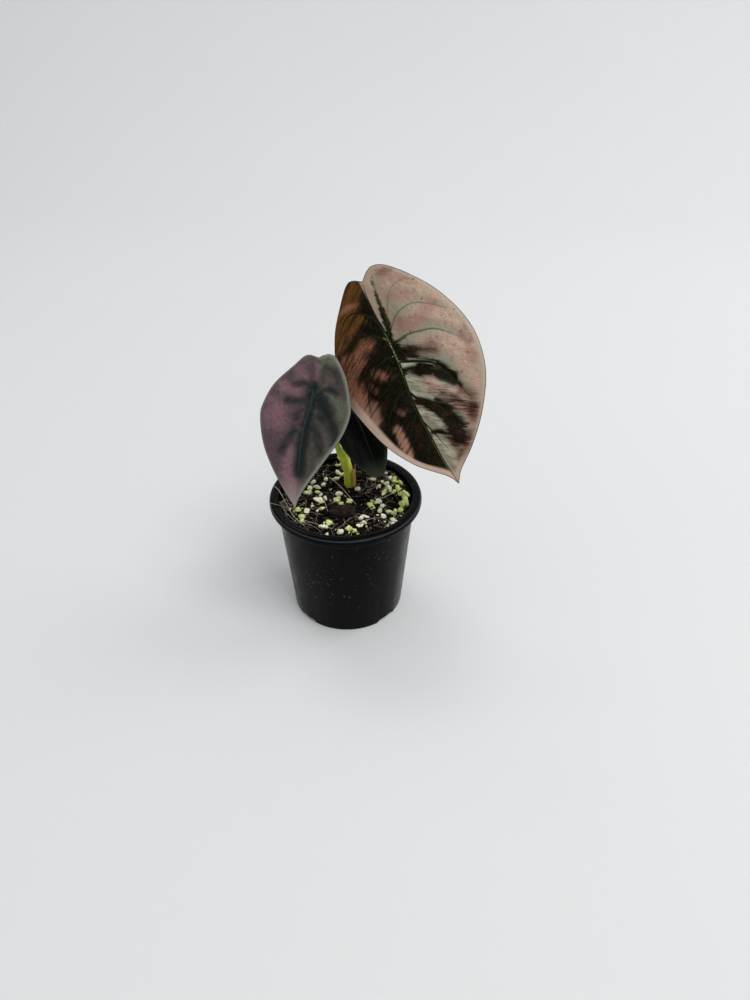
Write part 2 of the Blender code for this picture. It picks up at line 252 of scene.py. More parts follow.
class Graph:
    """A material's node tree, with short ways to add to it."""

    def __init__(self, name):
        self.material = bpy.data.materials.new(name)
        self.material.use_nodes = True
        self.tree = self.material.node_tree
        self.shader = self.tree.nodes["Principled BSDF"]

    def put(self, socket, value):
        if isinstance(value, bpy.types.NodeSocket):
            self.tree.links.new(value, socket)
        elif isinstance(value, tuple) and len(value) == 3 and socket.type == "RGBA":
            socket.default_value = (*value, 1)
        else:
            socket.default_value = value

    def set(self, **inputs):
        for key, value in inputs.items():
            self.put(self.shader.inputs[key.replace("_", " ")], value)

    def node(self, kind, inputs=(), **settings):
        made = self.tree.nodes.new(kind)
        for key, value in settings.items():
            setattr(made, key, value)
        for key, value in dict(inputs).items():
            self.put(made.inputs[key], value)
        return made

    def value(self, name):
        """A number kept on the mesh's points."""
        return self.node("ShaderNodeAttribute", attribute_name=name).outputs["Fac"]

    def vector(self, name):
        return self.node("ShaderNodeAttribute", attribute_name=name).outputs["Vector"]

    def place(self):
        return self.node("ShaderNodeTexCoord").outputs["Object"]

    def noise(self, where, scale, detail=3.0, rough=0.5):
        made = self.node("ShaderNodeTexNoise", {"Vector": where, "Scale": scale,
                                                "Detail": detail, "Roughness": rough})
        return made.outputs["Fac"]

    def cells(self, where, scale):
        """Distance to the nearest of many scattered spots."""
        return self.node("ShaderNodeTexVoronoi",
                         {"Vector": where, "Scale": scale}).outputs["Distance"]

    def stretch(self, where, scale):
        made = self.node("ShaderNodeMapping", {"Vector": where, "Scale": scale})
        return made.outputs["Vector"]

    def math(self, operation, a, b=0.0):
        return self.node("ShaderNodeMath", {0: a, 1: b}, operation=operation).outputs["Value"]

    def plus(self, a, b):
        return self.math("ADD", a, b)

    def minus(self, a, b):
        return self.math("SUBTRACT", a, b)

    def times(self, product, *others):
        for other in others:
            product = self.math("MULTIPLY", product, other)
        return product

    def span(self, value, low, high, to_low=0.0, to_high=1.0):
        """A value mapped smoothly from one range to another, held at the ends."""
        made = self.node("ShaderNodeMapRange", {"Value": value, "From Min": low,
                                                "From Max": high, "To Min": to_low,
                                                "To Max": to_high},
                         interpolation_type="SMOOTHSTEP")
        return made.outputs["Result"]

    def axes(self, where):
        """The X, Y and Z of a vector."""
        split = self.node("ShaderNodeSeparateXYZ", {"Vector": where})
        return [split.outputs[axis] for axis in "XYZ"]

    def mix(self, share, a, b):
        made = self.node("ShaderNodeMix", data_type="RGBA")
        self.put(made.inputs[0], share)
        self.put(made.inputs[6], a)
        self.put(made.inputs[7], b)
        return made.outputs[2]

    def tone(self, value, low, high, a, b):
        """Colour a below low, colour b above high, and between them a smooth change."""
        return self.mix(self.span(value, low, high), a, b)

    def coats(self, colour, *layers):
        """A colour under layers of (share, colour), the last on top."""
        for share, coat in layers:
            colour = self.mix(share, colour, coat)
        return colour

    def bump(self, height, depth, strength=1.0, under=None):
        made = self.node("ShaderNodeBump", {"Height": height, "Distance": depth,
                                            "Strength": strength})
        if under is not None:
            self.put(made.inputs["Normal"], under)
        return made.outputs["Normal"]


def dimmed(colour, share):
    return tuple(share * c for c in colour)


def pot_plastic():
    g = Graph("pot_plastic")
    where = g.place()
    dust = g.span(g.noise(where, 900, 4, 0.7), 0.60, 0.75)
    patch = g.span(g.noise(where, 40, 2), 0.45, 0.7)
    film = g.span(g.noise(where, 60, 5, 0.6), 0.35, 0.75, 0.0, 0.3)
    _, _, height = g.axes(where)
    top = POT_HEIGHT * MM
    # A thin lighter, bluish band round the lip's outer rounding: painted highlight.
    lip_highlight = g.times(g.span(height, top - 0.0020, top - 0.0013),
                     g.span(height, top - 0.0006, top - 0.0012, 0.0, 0.9))
    colour = g.coats((0.0015, 0.0015, 0.0014), (film, (0.0040, 0.0038, 0.0034)),
                     (g.times(dust, patch, 0.45), (0.12, 0.115, 0.10)),
                     (lip_highlight, (0.042, 0.052, 0.064)))
    rough = g.span(g.noise(where, 120, 4), 0.3, 0.7, 0.20, 0.32)
    orange_peel = g.noise(where, 1500, 2)
    scuffs = g.noise(g.stretch(where, (1, 1, 8)), 180, 3)
    skin = g.bump(orange_peel, 0.00002, 0.5)
    g.set(Base_Color=colour, Roughness=rough, Normal=g.bump(scuffs, 0.00005, 0.35, skin),
          Specular_IOR_Level=0.05)
    return g.material


def earthy(name, dark, light, scale, depth, rough=0.95, gloss=0.3):
    """A crumbly matte finish that wanders between two colours."""
    g = Graph(name)
    where = g.place()
    patch = g.noise(where, scale, 5, 0.65)
    fine = g.noise(where, scale * 6, 3, 0.6)
    colour = g.tone(patch, 0.35, 0.7, dark, light)
    colour = g.mix(g.span(fine, 0.55, 0.75, 0.0, 0.5), colour, dimmed(dark, 0.4))
    g.set(Base_Color=colour, Roughness=g.span(fine, 0.2, 0.8, rough - 0.15, rough),
          Normal=g.bump(fine, depth, 0.8), Specular_IOR_Level=gloss)
    return g.material


def perlite(name, body, stain, share):
    """Porous foamed glass; share is how much of it the stain covers."""
    g = Graph(name)
    where = g.place()
    patch = g.span(g.noise(where, 260, 3), 0.62 - 0.3 * share, 0.75 - 0.25 * share)
    pits = g.cells(where, 2600)
    deep = g.span(pits, 0.05, 0.35)
    colour = g.mix(patch, body, stain)
    colour = g.mix(g.span(deep, 0.0, 1.0, 0.25, 0.0), colour, dimmed(stain, 0.45))
    g.set(Base_Color=colour, Roughness=g.span(deep, 0, 1, 0.98, 0.85),
          Normal=g.bump(pits, 0.00012, 0.6))
    return g.material


def plant_skin(name, pale, deep, rough, streak=260, foot=None):
    """A fresh stalk: streaks along it, and a foot of another colour where "rise" is low."""
    g = Graph(name)
    where = g.place()
    long_streaks = g.noise(g.stretch(where, (1, 1, 0.06)), streak, 4)
    mottle = g.noise(g.stretch(where, (1, 1, 0.35)), 420, 3)
    colour = g.tone(long_streaks, 0.35, 0.68, pale, deep)
    if foot:
        low = g.plus(g.value("rise"), g.times(mottle, 6.0))
        colour = g.tone(low, 46.0, 30.0, colour, foot)
    colour = g.mix(g.span(mottle, 0.6, 0.72, 0.0, 0.35), colour, dimmed(deep, 0.5))
    g.set(Base_Color=colour, Roughness=g.span(mottle, 0.3, 0.7, rough, rough + 0.12),
          Normal=g.bump(long_streaks, 0.00012, 0.5), Subsurface_Weight=0.12,
          Subsurface_Radius=(0.002, 0.002, 0.0006), Subsurface_Scale=1.0)
    return g.material


# ---------------------------------------------------------------- pot

POT_SIDES = 160
NOTCHES, NOTCH_WIDTH, NOTCH_HEIGHT, NOTCH_DEPTH = 4, 15.0, 2.8, 4.5
COLLAR_HEIGHT, COLLAR_STEP = 5.0, 0.5


def wall_radius(z):
    top = RIM_RADIUS - LIP_WIDTH
    return BASE_RADIUS + (top - BASE_RADIUS) * z / (POT_HEIGHT - LIP_HEIGHT)


def rounded(points, radius, steps=3):
    """A polyline with each inner corner cut to a short curve."""
    out = [np.array(points[0], float)]
    for a, b, c in zip(points, points[1:], points[2:]):
        a, b, c = (np.array(p, float) for p in (a, b, c))
        back, ahead = a - b, c - b
        r = min(radius, 0.45 * np.linalg.norm(back), 0.45 * np.linalg.norm(ahead))
        start, end = b + back / np.linalg.norm(back) * r, b + ahead / np.linalg.norm(ahead) * r
        for t in np.linspace(0, 1, steps + 1):
            out.append((1 - t) ** 2 * start + 2 * t * (1 - t) * b + t * t * end)
    return out + [np.array(points[-1], float)]


def make_pot():
    top, lip_foot = POT_HEIGHT, POT_HEIGHT - LIP_HEIGHT
    collar = lip_foot - COLLAR_HEIGHT
    floor = 1.6
    profile = rounded([
        (0, floor), (wall_radius(floor) - WALL, floor), (wall_radius(lip_foot) - WALL, lip_foot),
        (RIM_RADIUS - LIP_WIDTH - WALL, top - 0.7), (RIM_RADIUS - LIP_WIDTH, top),
        (RIM_RADIUS - 2.4, top - 0.05), (RIM_RADIUS - 0.8, top - 0.7), (RIM_RADIUS, top - 2.3),
        (RIM_RADIUS, lip_foot),
        (RIM_RADIUS - 1.1, lip_foot), (RIM_RADIUS - 1.3, lip_foot + 2.2),
        (wall_radius(lip_foot) + COLLAR_STEP, lip_foot + 2.0),
        (wall_radius(collar) + COLLAR_STEP, collar), (wall_radius(collar - 0.6), collar - 0.6),
        (BASE_RADIUS, 0), (BASE_RADIUS - 2.6, 0), (BASE_RADIUS - 3.4, 0.8), (0, 0.8)], 1.1, 4)
    mesh = bpy.data.meshes.new("nursery_pot")
    mesh.from_pydata([(r * MM, 0, z * MM) for r, z in profile],
                     [(k, k + 1) for k in range(len(profile) - 1)], [])
    pot = add_object("nursery_pot", mesh, pot_plastic())
    screw = pot.modifiers.new("turn", "SCREW")
    screw.steps = screw.render_steps = POT_SIDES
    screw.use_merge_vertices = True
    screw.merge_threshold = 0.00001
    apply_modifiers(pot)
    for k in range(NOTCHES):
        bm = bmesh.new()
        bmesh.ops.create_cube(bm, size=1)
        reach = NOTCH_DEPTH + 4
        bmesh.ops.scale(bm, vec=(reach * MM, NOTCH_WIDTH * MM, 2 * NOTCH_HEIGHT * MM),
                        verts=bm.verts)
        bmesh.ops.translate(bm, vec=((BASE_RADIUS - NOTCH_DEPTH + reach / 2) * MM, 0, 0),
                            verts=bm.verts)
        sides = [e for e in bm.edges if abs(e.verts[0].co.y - e.verts[1].co.y) < 1e-6
                 and e.verts[0].co.z > 0 and e.verts[1].co.z > 0]
        bmesh.ops.bevel(bm, geom=sides, offset=1.2 * MM, segments=3, affect="EDGES")
        data = bpy.data.meshes.new("cutter")
        bm.to_mesh(data)
        bm.free()
        cutter = add_object("cutter", data, None)
        cutter.rotation_euler.z = math.tau * (k + 0.5) / NOTCHES
        bpy.context.view_layer.update()
        boolean = pot.modifiers.new("notch", "BOOLEAN")
        boolean.object = cutter
        boolean.operation = "DIFFERENCE"
        apply_modifiers(pot)
        bpy.data.objects.remove(cutter)
    pot.data.shade_smooth()
    pot.data.set_sharp_from_angle(angle=math.radians(40))
    return belongs(pot, "pot_plastic", "pot")


def apply_modifiers(piece):
    """Turns the piece's mesh into what its modifiers make of it."""
    graph = bpy.context.evaluated_depsgraph_get()
    made = bpy.data.meshes.new_from_object(piece.evaluated_get(graph))
    old = piece.data
    piece.modifiers.clear()
    piece.data = made
    bpy.data.meshes.remove(old)


# ---------------------------------------------------------------- leaves

def painted(flat, strokes):
    """How strongly soft brush strokes cover each point; a stroke is (points, width, strength)."""
    cover = np.zeros(len(flat))
    for points, width, strength in strokes:
        away, _, _ = nearest(flat, smooth_path(points, 5))
        cover = np.maximum(cover, strength * np.exp(-(away / width) ** 2))
    return cover


class Leaf:
    """One blade: its outline, veins, markings and how it is held, as in the CAD model."""

    def __init__(self, name, attach, bearing, tilt, roll, right, tip, left, cup_left, cup_right,
                 arch, veins, marks, pillow, spread, groove, ripple, thickness, around, across):
        self.name, self.attach = name, np.array(attach, float)
        self.top = max(p[1] for p in right + left)
        self.tip, self.marks = tip, marks
        self.cup_left, self.cup_right, self.arch = cup_left, cup_right, arch
        self.pillow, self.spread, self.groove, self.ripple = pillow, spread, groove, ripple
        self.thickness, self.across = thickness, across
        half = around // 2
        right = evenly(smooth_path([*right, tip]), half)
        left = evenly(smooth_path([tip, *left, right[0]]), around - half)
        self.outline = np.vstack([right[:-1], left[:-1]])
        self.veins = [(smooth_path(path, 6), share) for path, share in veins]
        self.turn = np.array(Matrix.Rotation(math.radians(bearing), 3, "Z")
                             @ Matrix.Rotation(math.radians(90 - tilt), 3, "X")
                             @ Matrix.Rotation(math.radians(roll), 3, "Z"))

    def bend(self, flat):
        """Height of the blade's broad shape."""
        x, y = flat.T
        t = smoothstep(y, self.tip[1], self.top)
        cups = [low + (high - low) * t for low, high in (self.cup_left, self.cup_right)]
        return -np.where(x < 0, *cups) * x * x - self.arch * y * y

    def shape(self, flat, edge):
        """Relief over the broad shape, and what the finish needs to know at each point."""
        swell, groove, ripple = np.ones(len(flat)), np.zeros(len(flat)), np.zeros(len(flat))
        for k, (path, share) in enumerate(self.veins):
            away, along, length = nearest(flat, path)
            rest = 1 - along / length
            width = self.spread * (0.55 + 0.45 * rest) * (0.6 + 0.4 * share)
            swell *= 1 - share * (0.35 + 0.65 * rest) * np.exp(-(away / width) ** 2)
            fine = 0.30 + 0.45 * rest * share
            groove = np.maximum(groove, (0.3 + 0.7 * rest) * share * np.exp(-(away / fine) ** 2))
            flank = np.exp(-(away / (0.95 * self.spread)) ** 2) * (1 - np.exp(-(away / 1.6) ** 2))
            creases = bumps(np.column_stack([along / 2.1, away / 9.0]), 1.0, 5.0 * k, 2)
            ripple += share * flank * creases
        inner = smoothstep(edge, 0.4, 9.0)
        rib = self.veins[0][0][::-1]
        side = flat[:, 0] - np.interp(flat[:, 1], rib[:, 1], rib[:, 0])
        rim = np.exp(-(edge / 0.7) ** 2)
        height = (self.pillow * (swell - 1) * inner - self.groove * groove
                  + self.ripple * 2.4 * ripple * inner + 0.35 * bumps(flat, 9.0, 3.1) * inner
                  + 0.10 * bumps(flat, 2.2, 6.4) * inner + 0.10 * rim)
        return height, {"swell": swell, "groove": groove, "ripple": ripple, "side": side}

    def underside(self):
        """Height of the blade's lower face where its stalk joins."""
        height, facts = self.shape(np.zeros((1, 2)), np.array([20.0]))
        return height[0] - self.thickness / 2 - RIB_DEPTH * facts["groove"][0]


def make_leaf(leaf, slot, node, finish):
    """A blade with relief above, standing veins below and a rounded rim."""
    shares = np.linspace(0, 1, leaf.across + 1)[1:]
    count = len(leaf.outline)
    flat = np.vstack([[(0, 0)], *(share * leaf.outline for share in shares)])
    edge, _, _ = nearest(flat, np.vstack([leaf.outline, leaf.outline[:1]]))
    height, facts = leaf.shape(flat, edge)
    broad = leaf.bend(flat)
    half = leaf.thickness / 2 * (0.55 + 0.45 * smoothstep(edge, 0.0, 1.0))
    ribs = RIB_DEPTH * facts["groove"]
    above = np.column_stack([flat, broad + height + half])
    below = np.column_stack([flat, broad + height - half - ribs])
    rows = [list(range(1 + k * count, 1 + (k + 1) * count)) for k in range(leaf.across)]
    faces = [(0, rows[0][(k + 1) % count], rows[0][k]) for k in range(count)]
    for a, b in zip(rows, rows[1:]):
        faces += strip_faces(b, a)
    start = len(flat)
    faces += [tuple(i + start for i in face[::-1]) for face in faces]
    faces += strip_faces([i + start for i in rows[-1]], rows[-1])
    points = np.vstack([above, below]) @ leaf.turn.T + leaf.attach
    facts["edge"] = edge
    facts["lay"] = np.column_stack([flat, 0 * edge])
    for mark, strokes in leaf.marks.items():
        facts[mark] = painted(flat, strokes)
    values = {key: np.concatenate([fact, fact]) for key, fact in facts.items()}
    values["under"] = np.r_[np.zeros(start), np.ones(start)]
    blade = add_mesh(leaf.name, points, faces, finish(leaf), values=values)
    return belongs(blade, slot, node)


class BladePaint(Graph):
    """A blade's material, with what both kinds of finish read from its mesh."""

    def __init__(self, name, drift, grain, fine, grain_rough):
        super().__init__(name)
        self.lay = lay = self.vector("lay")
        self.x, self.y, _ = self.axes(lay)
        self.groove, self.edge, self.side, self.under = (
            self.value(key) for key in ("groove", "edge", "side", "under"))
        self.drift = self.minus(self.noise(lay, drift, 4, 0.6), 0.5)
        self.streak = self.fanned(0.5)
        self.grain = self.noise(lay, grain, 4, grain_rough)
        self.fine = self.noise(lay, fine, 3, 0.6)

    def fanned(self, scale):
        """Noise around zero, drawn out into streaks that run down and away from the midrib."""
        out = self.math("ABSOLUTE", self.side)
        along = self.minus(self.times(out, 0.085), self.times(self.y, 0.055))
        across = self.plus(self.times(out, 0.55), self.times(self.y, 0.83))
        half = self.span(self.side, -0.01, 0.01, 0.0, 9.0)
        where = self.node("ShaderNodeCombineXYZ", {"X": along, "Y": across, "Z": half})
        return self.minus(self.noise(where.outputs["Vector"], scale, 4, 0.65), 0.5)

    def brushed(self, mark, stray=0.8, streaky=0.8, low=0.08, high=0.92, streak=None):
        """A painted mark with its border drifting and broken into streaks."""
        loose = self.plus(self.times(self.drift, stray),
                          self.times(streak or self.streak, streaky))
        amount = self.value(mark)
        loose = self.times(loose, self.span(amount, 0.04, 0.35))
        return self.span(self.plus(amount, loose), low, high)

    def backed(self, colour, dark, light, vein):
        """The upper face's colour, with the lower face in its own."""
        below = self.tone(self.grain, 0.3, 0.7, dark, light)
        return self.mix(self.under, colour, self.tone(self.groove, 0.1, 0.6, below, vein))


def silver_side(g):
    """Silver-pink, partly painted reflection, grey-green in the hollows along the veins, with rosy and
    rusty patches.
    """
    hollow = g.span(g.plus(g.value("swell"), g.times(g.streak, 0.5)), 0.97, 0.66)
    off_rib = g.math("MAXIMUM", g.span(g.x, 6.0, 11.0, 0.15, 1.0), g.span(g.y, 14.0, 4.0))
    near_rib = g.span(g.plus(g.x, g.times(g.drift, 30.0)), 36.0, 4.0, 0.0, 0.25)
    return g.coats(
        g.tone(g.grain, 0.3, 0.7, (0.40, 0.265, 0.195), (0.53, 0.37, 0.285)),
        (g.span(g.noise(g.lay, 0.13, 3), 0.42, 0.62, 0.0, 0.7), (0.42, 0.36, 0.265)),
        (g.times(hollow, off_rib), (0.345, 0.335, 0.24)),
        (near_rib, (0.27, 0.20, 0.135)),
        (g.brushed("rosy"), (0.36, 0.21, 0.17)),
        (g.span(g.streak, 0.02, 0.22, 0.0, 0.35), (0.36, 0.22, 0.18)),
        (g.brushed("rust", 0.9, 1.4, 0.1, 1.25), (0.12, 0.045, 0.030)))


def copper_side(g, hair):
    """Copper, olive-brown at the top and paler towards the tip, with fine light streaks of painted
    highlight.
    """
    # Fine light streaks: painted highlights on the copper swells, fewer at the top.
    light = g.times(g.span(hair, 0.0, 0.2, 0.0, 0.55), g.span(g.y, 22.0, 0.0, 0.3, 1.0))
    return g.coats(
        g.tone(g.grain, 0.3, 0.7, (0.20, 0.070, 0.036), (0.36, 0.155, 0.092)),
        (g.span(g.y, -4.0, 14.0), (0.125, 0.052, 0.012)),
        (g.span(g.y, -8.0, -42.0), (0.36, 0.20, 0.145)),
        (light, (0.46, 0.28, 0.21)),
        (g.span(g.streak, 0.03, -0.14, 0.0, 0.78), (0.040, 0.016, 0.007)),
        # Reddish streaky patches: partly the blade's own blush, partly painted copper highlights.
        (g.brushed("blush_and_glint", streak=hair), (0.36, 0.155, 0.10)))


def large_finish(leaf):
    """Glossy: silver-pink on the right, and dark with warm copper swells on the left. The silver is
    partly painted reflection, and the dark partly painted shade and dark reflection.
    """
    g = BladePaint("leaf_large", drift=0.11, grain=0.8, fine=3.5, grain_rough=0.6)
    lay, x, y, groove, edge, side = g.lay, g.x, g.y, g.groove, g.edge, g.side
    hair = g.fanned(1.4)
    brown = g.span(g.plus(g.noise(lay, 0.16, 3), g.streak), 0.45, 0.75, 0.0, 0.6)
    # Near-black: the blade's own dark, deepened as painted dark reflection.
    black = g.tone(g.grain, 0.35, 0.7, (0.0020, 0.0030, 0.0008), (0.0075, 0.0080, 0.0025))
    black = g.mix(brown, black, (0.030, 0.014, 0.007))
    # Right half: silver-pink, partly painted reflection, under the dark marks of painted shade and dark
    # reflection.
    right = g.mix(g.brushed("dark", 0.6, 1.4, 0.14, 0.82), silver_side(g), black)
    # Left half: near-black, partly painted dark reflection, with copper where the warm marks lie.
    left = g.mix(g.brushed("warm", 0.9, 0.8, 0.06, 0.95), black, copper_side(g, hair))

    comb = g.times(g.value("combed"), g.span(hair, 0.0, -0.11, 0.0, 0.9))
    glint = g.times(g.brushed("shine", 0.3, 1.6, 0.1, 1.0), g.span(hair, -0.12, 0.10, 0.35, 0.9))
    # A pale band along the lower left rim: painted highlight where the turned-up rim catches the light.
    wide = g.math("DIVIDE", edge, g.span(y, -38.0, -72.0, 6.4, 3.6))
    rim_highlight = g.times(g.span(wide, 1.0, 0.6), g.span(y, -12.0, -36.0), g.span(x, 4.0, -4.0, 0.0, 0.92))
    tip = g.times(g.span(edge, 4.5, 2.0), g.span(y, -74.0, -86.0, 0.0, 0.8))
    pale_edge = g.times(g.span(edge, 2.6, 1.2), g.span(x, 4.0, 30.0, 0.0, 0.45))
    # Darker beside the veins on the upper right: painted shade.
    vein_shade = g.times(g.span(groove, 0.004, 0.08), g.span(side, 3.0, 8.0, 0.0, 0.55),
                   g.span(y, -16.0, -8.0))
    flecks = g.times(g.span(g.noise(lay, 1.3, 2), 0.47, 0.58), g.span(groove, 0.45, 0.9),
                     g.span(y, -40.0, -6.0), g.span(g.math("ABSOLUTE", x), 2.6, 1.6),
                     g.span(y, 6.0, 2.0))
    freckle = g.span(g.noise(lay, 1.9, 2, 0.4), 0.63, 0.70, 0.0, 0.65)
    spot = g.cells(lay, 0.17)
    ring = g.times(g.span(spot, 0.09, 0.12), g.span(spot, 0.19, 0.15, 0.0, 0.55),
                   g.span(x, 2.0, 12.0))
    colour = g.coats(
        g.tone(side, -0.9, 0.3, left, right),
        (comb, (0.022, 0.013, 0.008)),
        (glint, (0.52, 0.50, 0.38)),
        (rim_highlight, (0.66, 0.49, 0.39)),
        (tip, (0.58, 0.41, 0.31)),
        (pale_edge, (0.50, 0.46, 0.38)),
        (g.span(groove, 0.06, 0.36), (0.008, 0.015, 0.005)),
        (vein_shade, (0.17, 0.17, 0.105)),
        (flecks, (0.36, 0.42, 0.17)),
        (freckle, (0.11, 0.06, 0.045)),
        (ring, (0.13, 0.07, 0.055)),
        (g.span(edge, 0.55, 0.2), (0.07, 0.06, 0.035)))
    colour = g.backed(colour, (0.050, 0.010, 0.016), (0.090, 0.020, 0.026), (0.07, 0.08, 0.03))
    metal = g.times(g.span(side, -0.9, 0.3, 0.10, 0.14), g.minus(1.0, g.under))
    rough = g.plus(g.span(g.fine, 0.3, 0.7, 0.34, 0.46), g.times(g.under, 0.12))
    skin = g.bump(g.plus(g.fine, g.times(g.streak, 1.6)), 0.00012, 0.5)
    g.set(Base_Color=colour, Metallic=metal, Roughness=rough, Specular_IOR_Level=0.03,
          Normal=g.bump(g.grain, 0.0003, 0.5, skin))
    return g.material


def satin_finish(name, leaf, left, right, deep, pink, olive, rim, tip, vein, gloss):
    """Satin: two sides of different colour, a dark middle, and a pale rim and tip."""
    g = BladePaint(name, drift=0.13, grain=0.9, fine=4.0, grain_rough=0.65)
    lay, x, edge = g.lay, g.x, g.edge
    reach = leaf.tip[1]

    def worn(mark):
        return g.brushed(mark, 0.9, 0.7, 0.02, 1.0)

    border = g.span(g.math("DIVIDE", edge, g.span(x, -4.0, 6.0, 1.5, 3.0)), 1.0, 0.1, 0.0, 0.85)
    colour = g.coats(
        g.tone(g.plus(x, g.times(g.drift, 8.0)), -3.0, 5.0, left, right),
        (worn("rosy"), pink),
        (worn("olive"), olive),
        (g.span(g.noise(lay, 0.55, 4, 0.7), 0.48, 0.68, 0.0, 0.5), dimmed(left, 0.45)),
        (g.span(g.value("ripple"), 0.05, 0.3, 0.0, 0.25), dimmed(olive, 1.5)),
        (worn("dark"), deep),
        (g.span(g.y, 0.70 * reach, reach, 0.0, 0.9), tip),
        (g.times(border, g.span(x, -4.0, 6.0, 0.4, 1.0)), rim),
        (g.span(edge, 0.45, 0.1, 0.0, 0.6), dimmed(rim, 0.3)),
        (g.span(g.groove, 0.2, 0.6, 0.0, 0.7), vein),
        (g.span(g.noise(lay, 2.2, 2), 0.60, 0.70, 0.0, 0.4), dimmed(left, 0.3)))
    colour = g.backed(colour, (0.065, 0.030, 0.042), (0.09, 0.050, 0.052), (0.09, 0.10, 0.05))
    g.set(Base_Color=colour, Roughness=g.span(g.fine, 0.3, 0.7, 0.42, 0.56),
          Normal=g.bump(g.grain, 0.0002, 0.5, g.bump(g.fine, 0.0001, 0.5)),
          Specular_IOR_Level=gloss)
    return g.material


def medium_finish(leaf):
    return satin_finish("leaf_medium", leaf, left=(0.098, 0.061, 0.071),
                        right=(0.070, 0.062, 0.052), deep=(0.0045, 0.0105, 0.0095),
                        pink=(0.225, 0.123, 0.140), olive=(0.14, 0.145, 0.10),
                        rim=(0.30, 0.31, 0.25), tip=(0.40, 0.31, 0.30),
                        vein=(0.028, 0.050, 0.049), gloss=0.25)


def small_finish(leaf):
    # Near-black throughout: the blade's dark green darkened as painted shade.
    return satin_finish("leaf_small", leaf, left=(0.003, 0.004, 0.003),
                        right=(0.003, 0.006, 0.004), deep=(0.0015, 0.0025, 0.0015),
                        pink=(0.006, 0.006, 0.005), olive=(0.010, 0.015, 0.009),
                        rim=(0.045, 0.06, 0.035), tip=(0.04, 0.045, 0.025),
                        vein=(0.03, 0.045, 0.036), gloss=0.06)


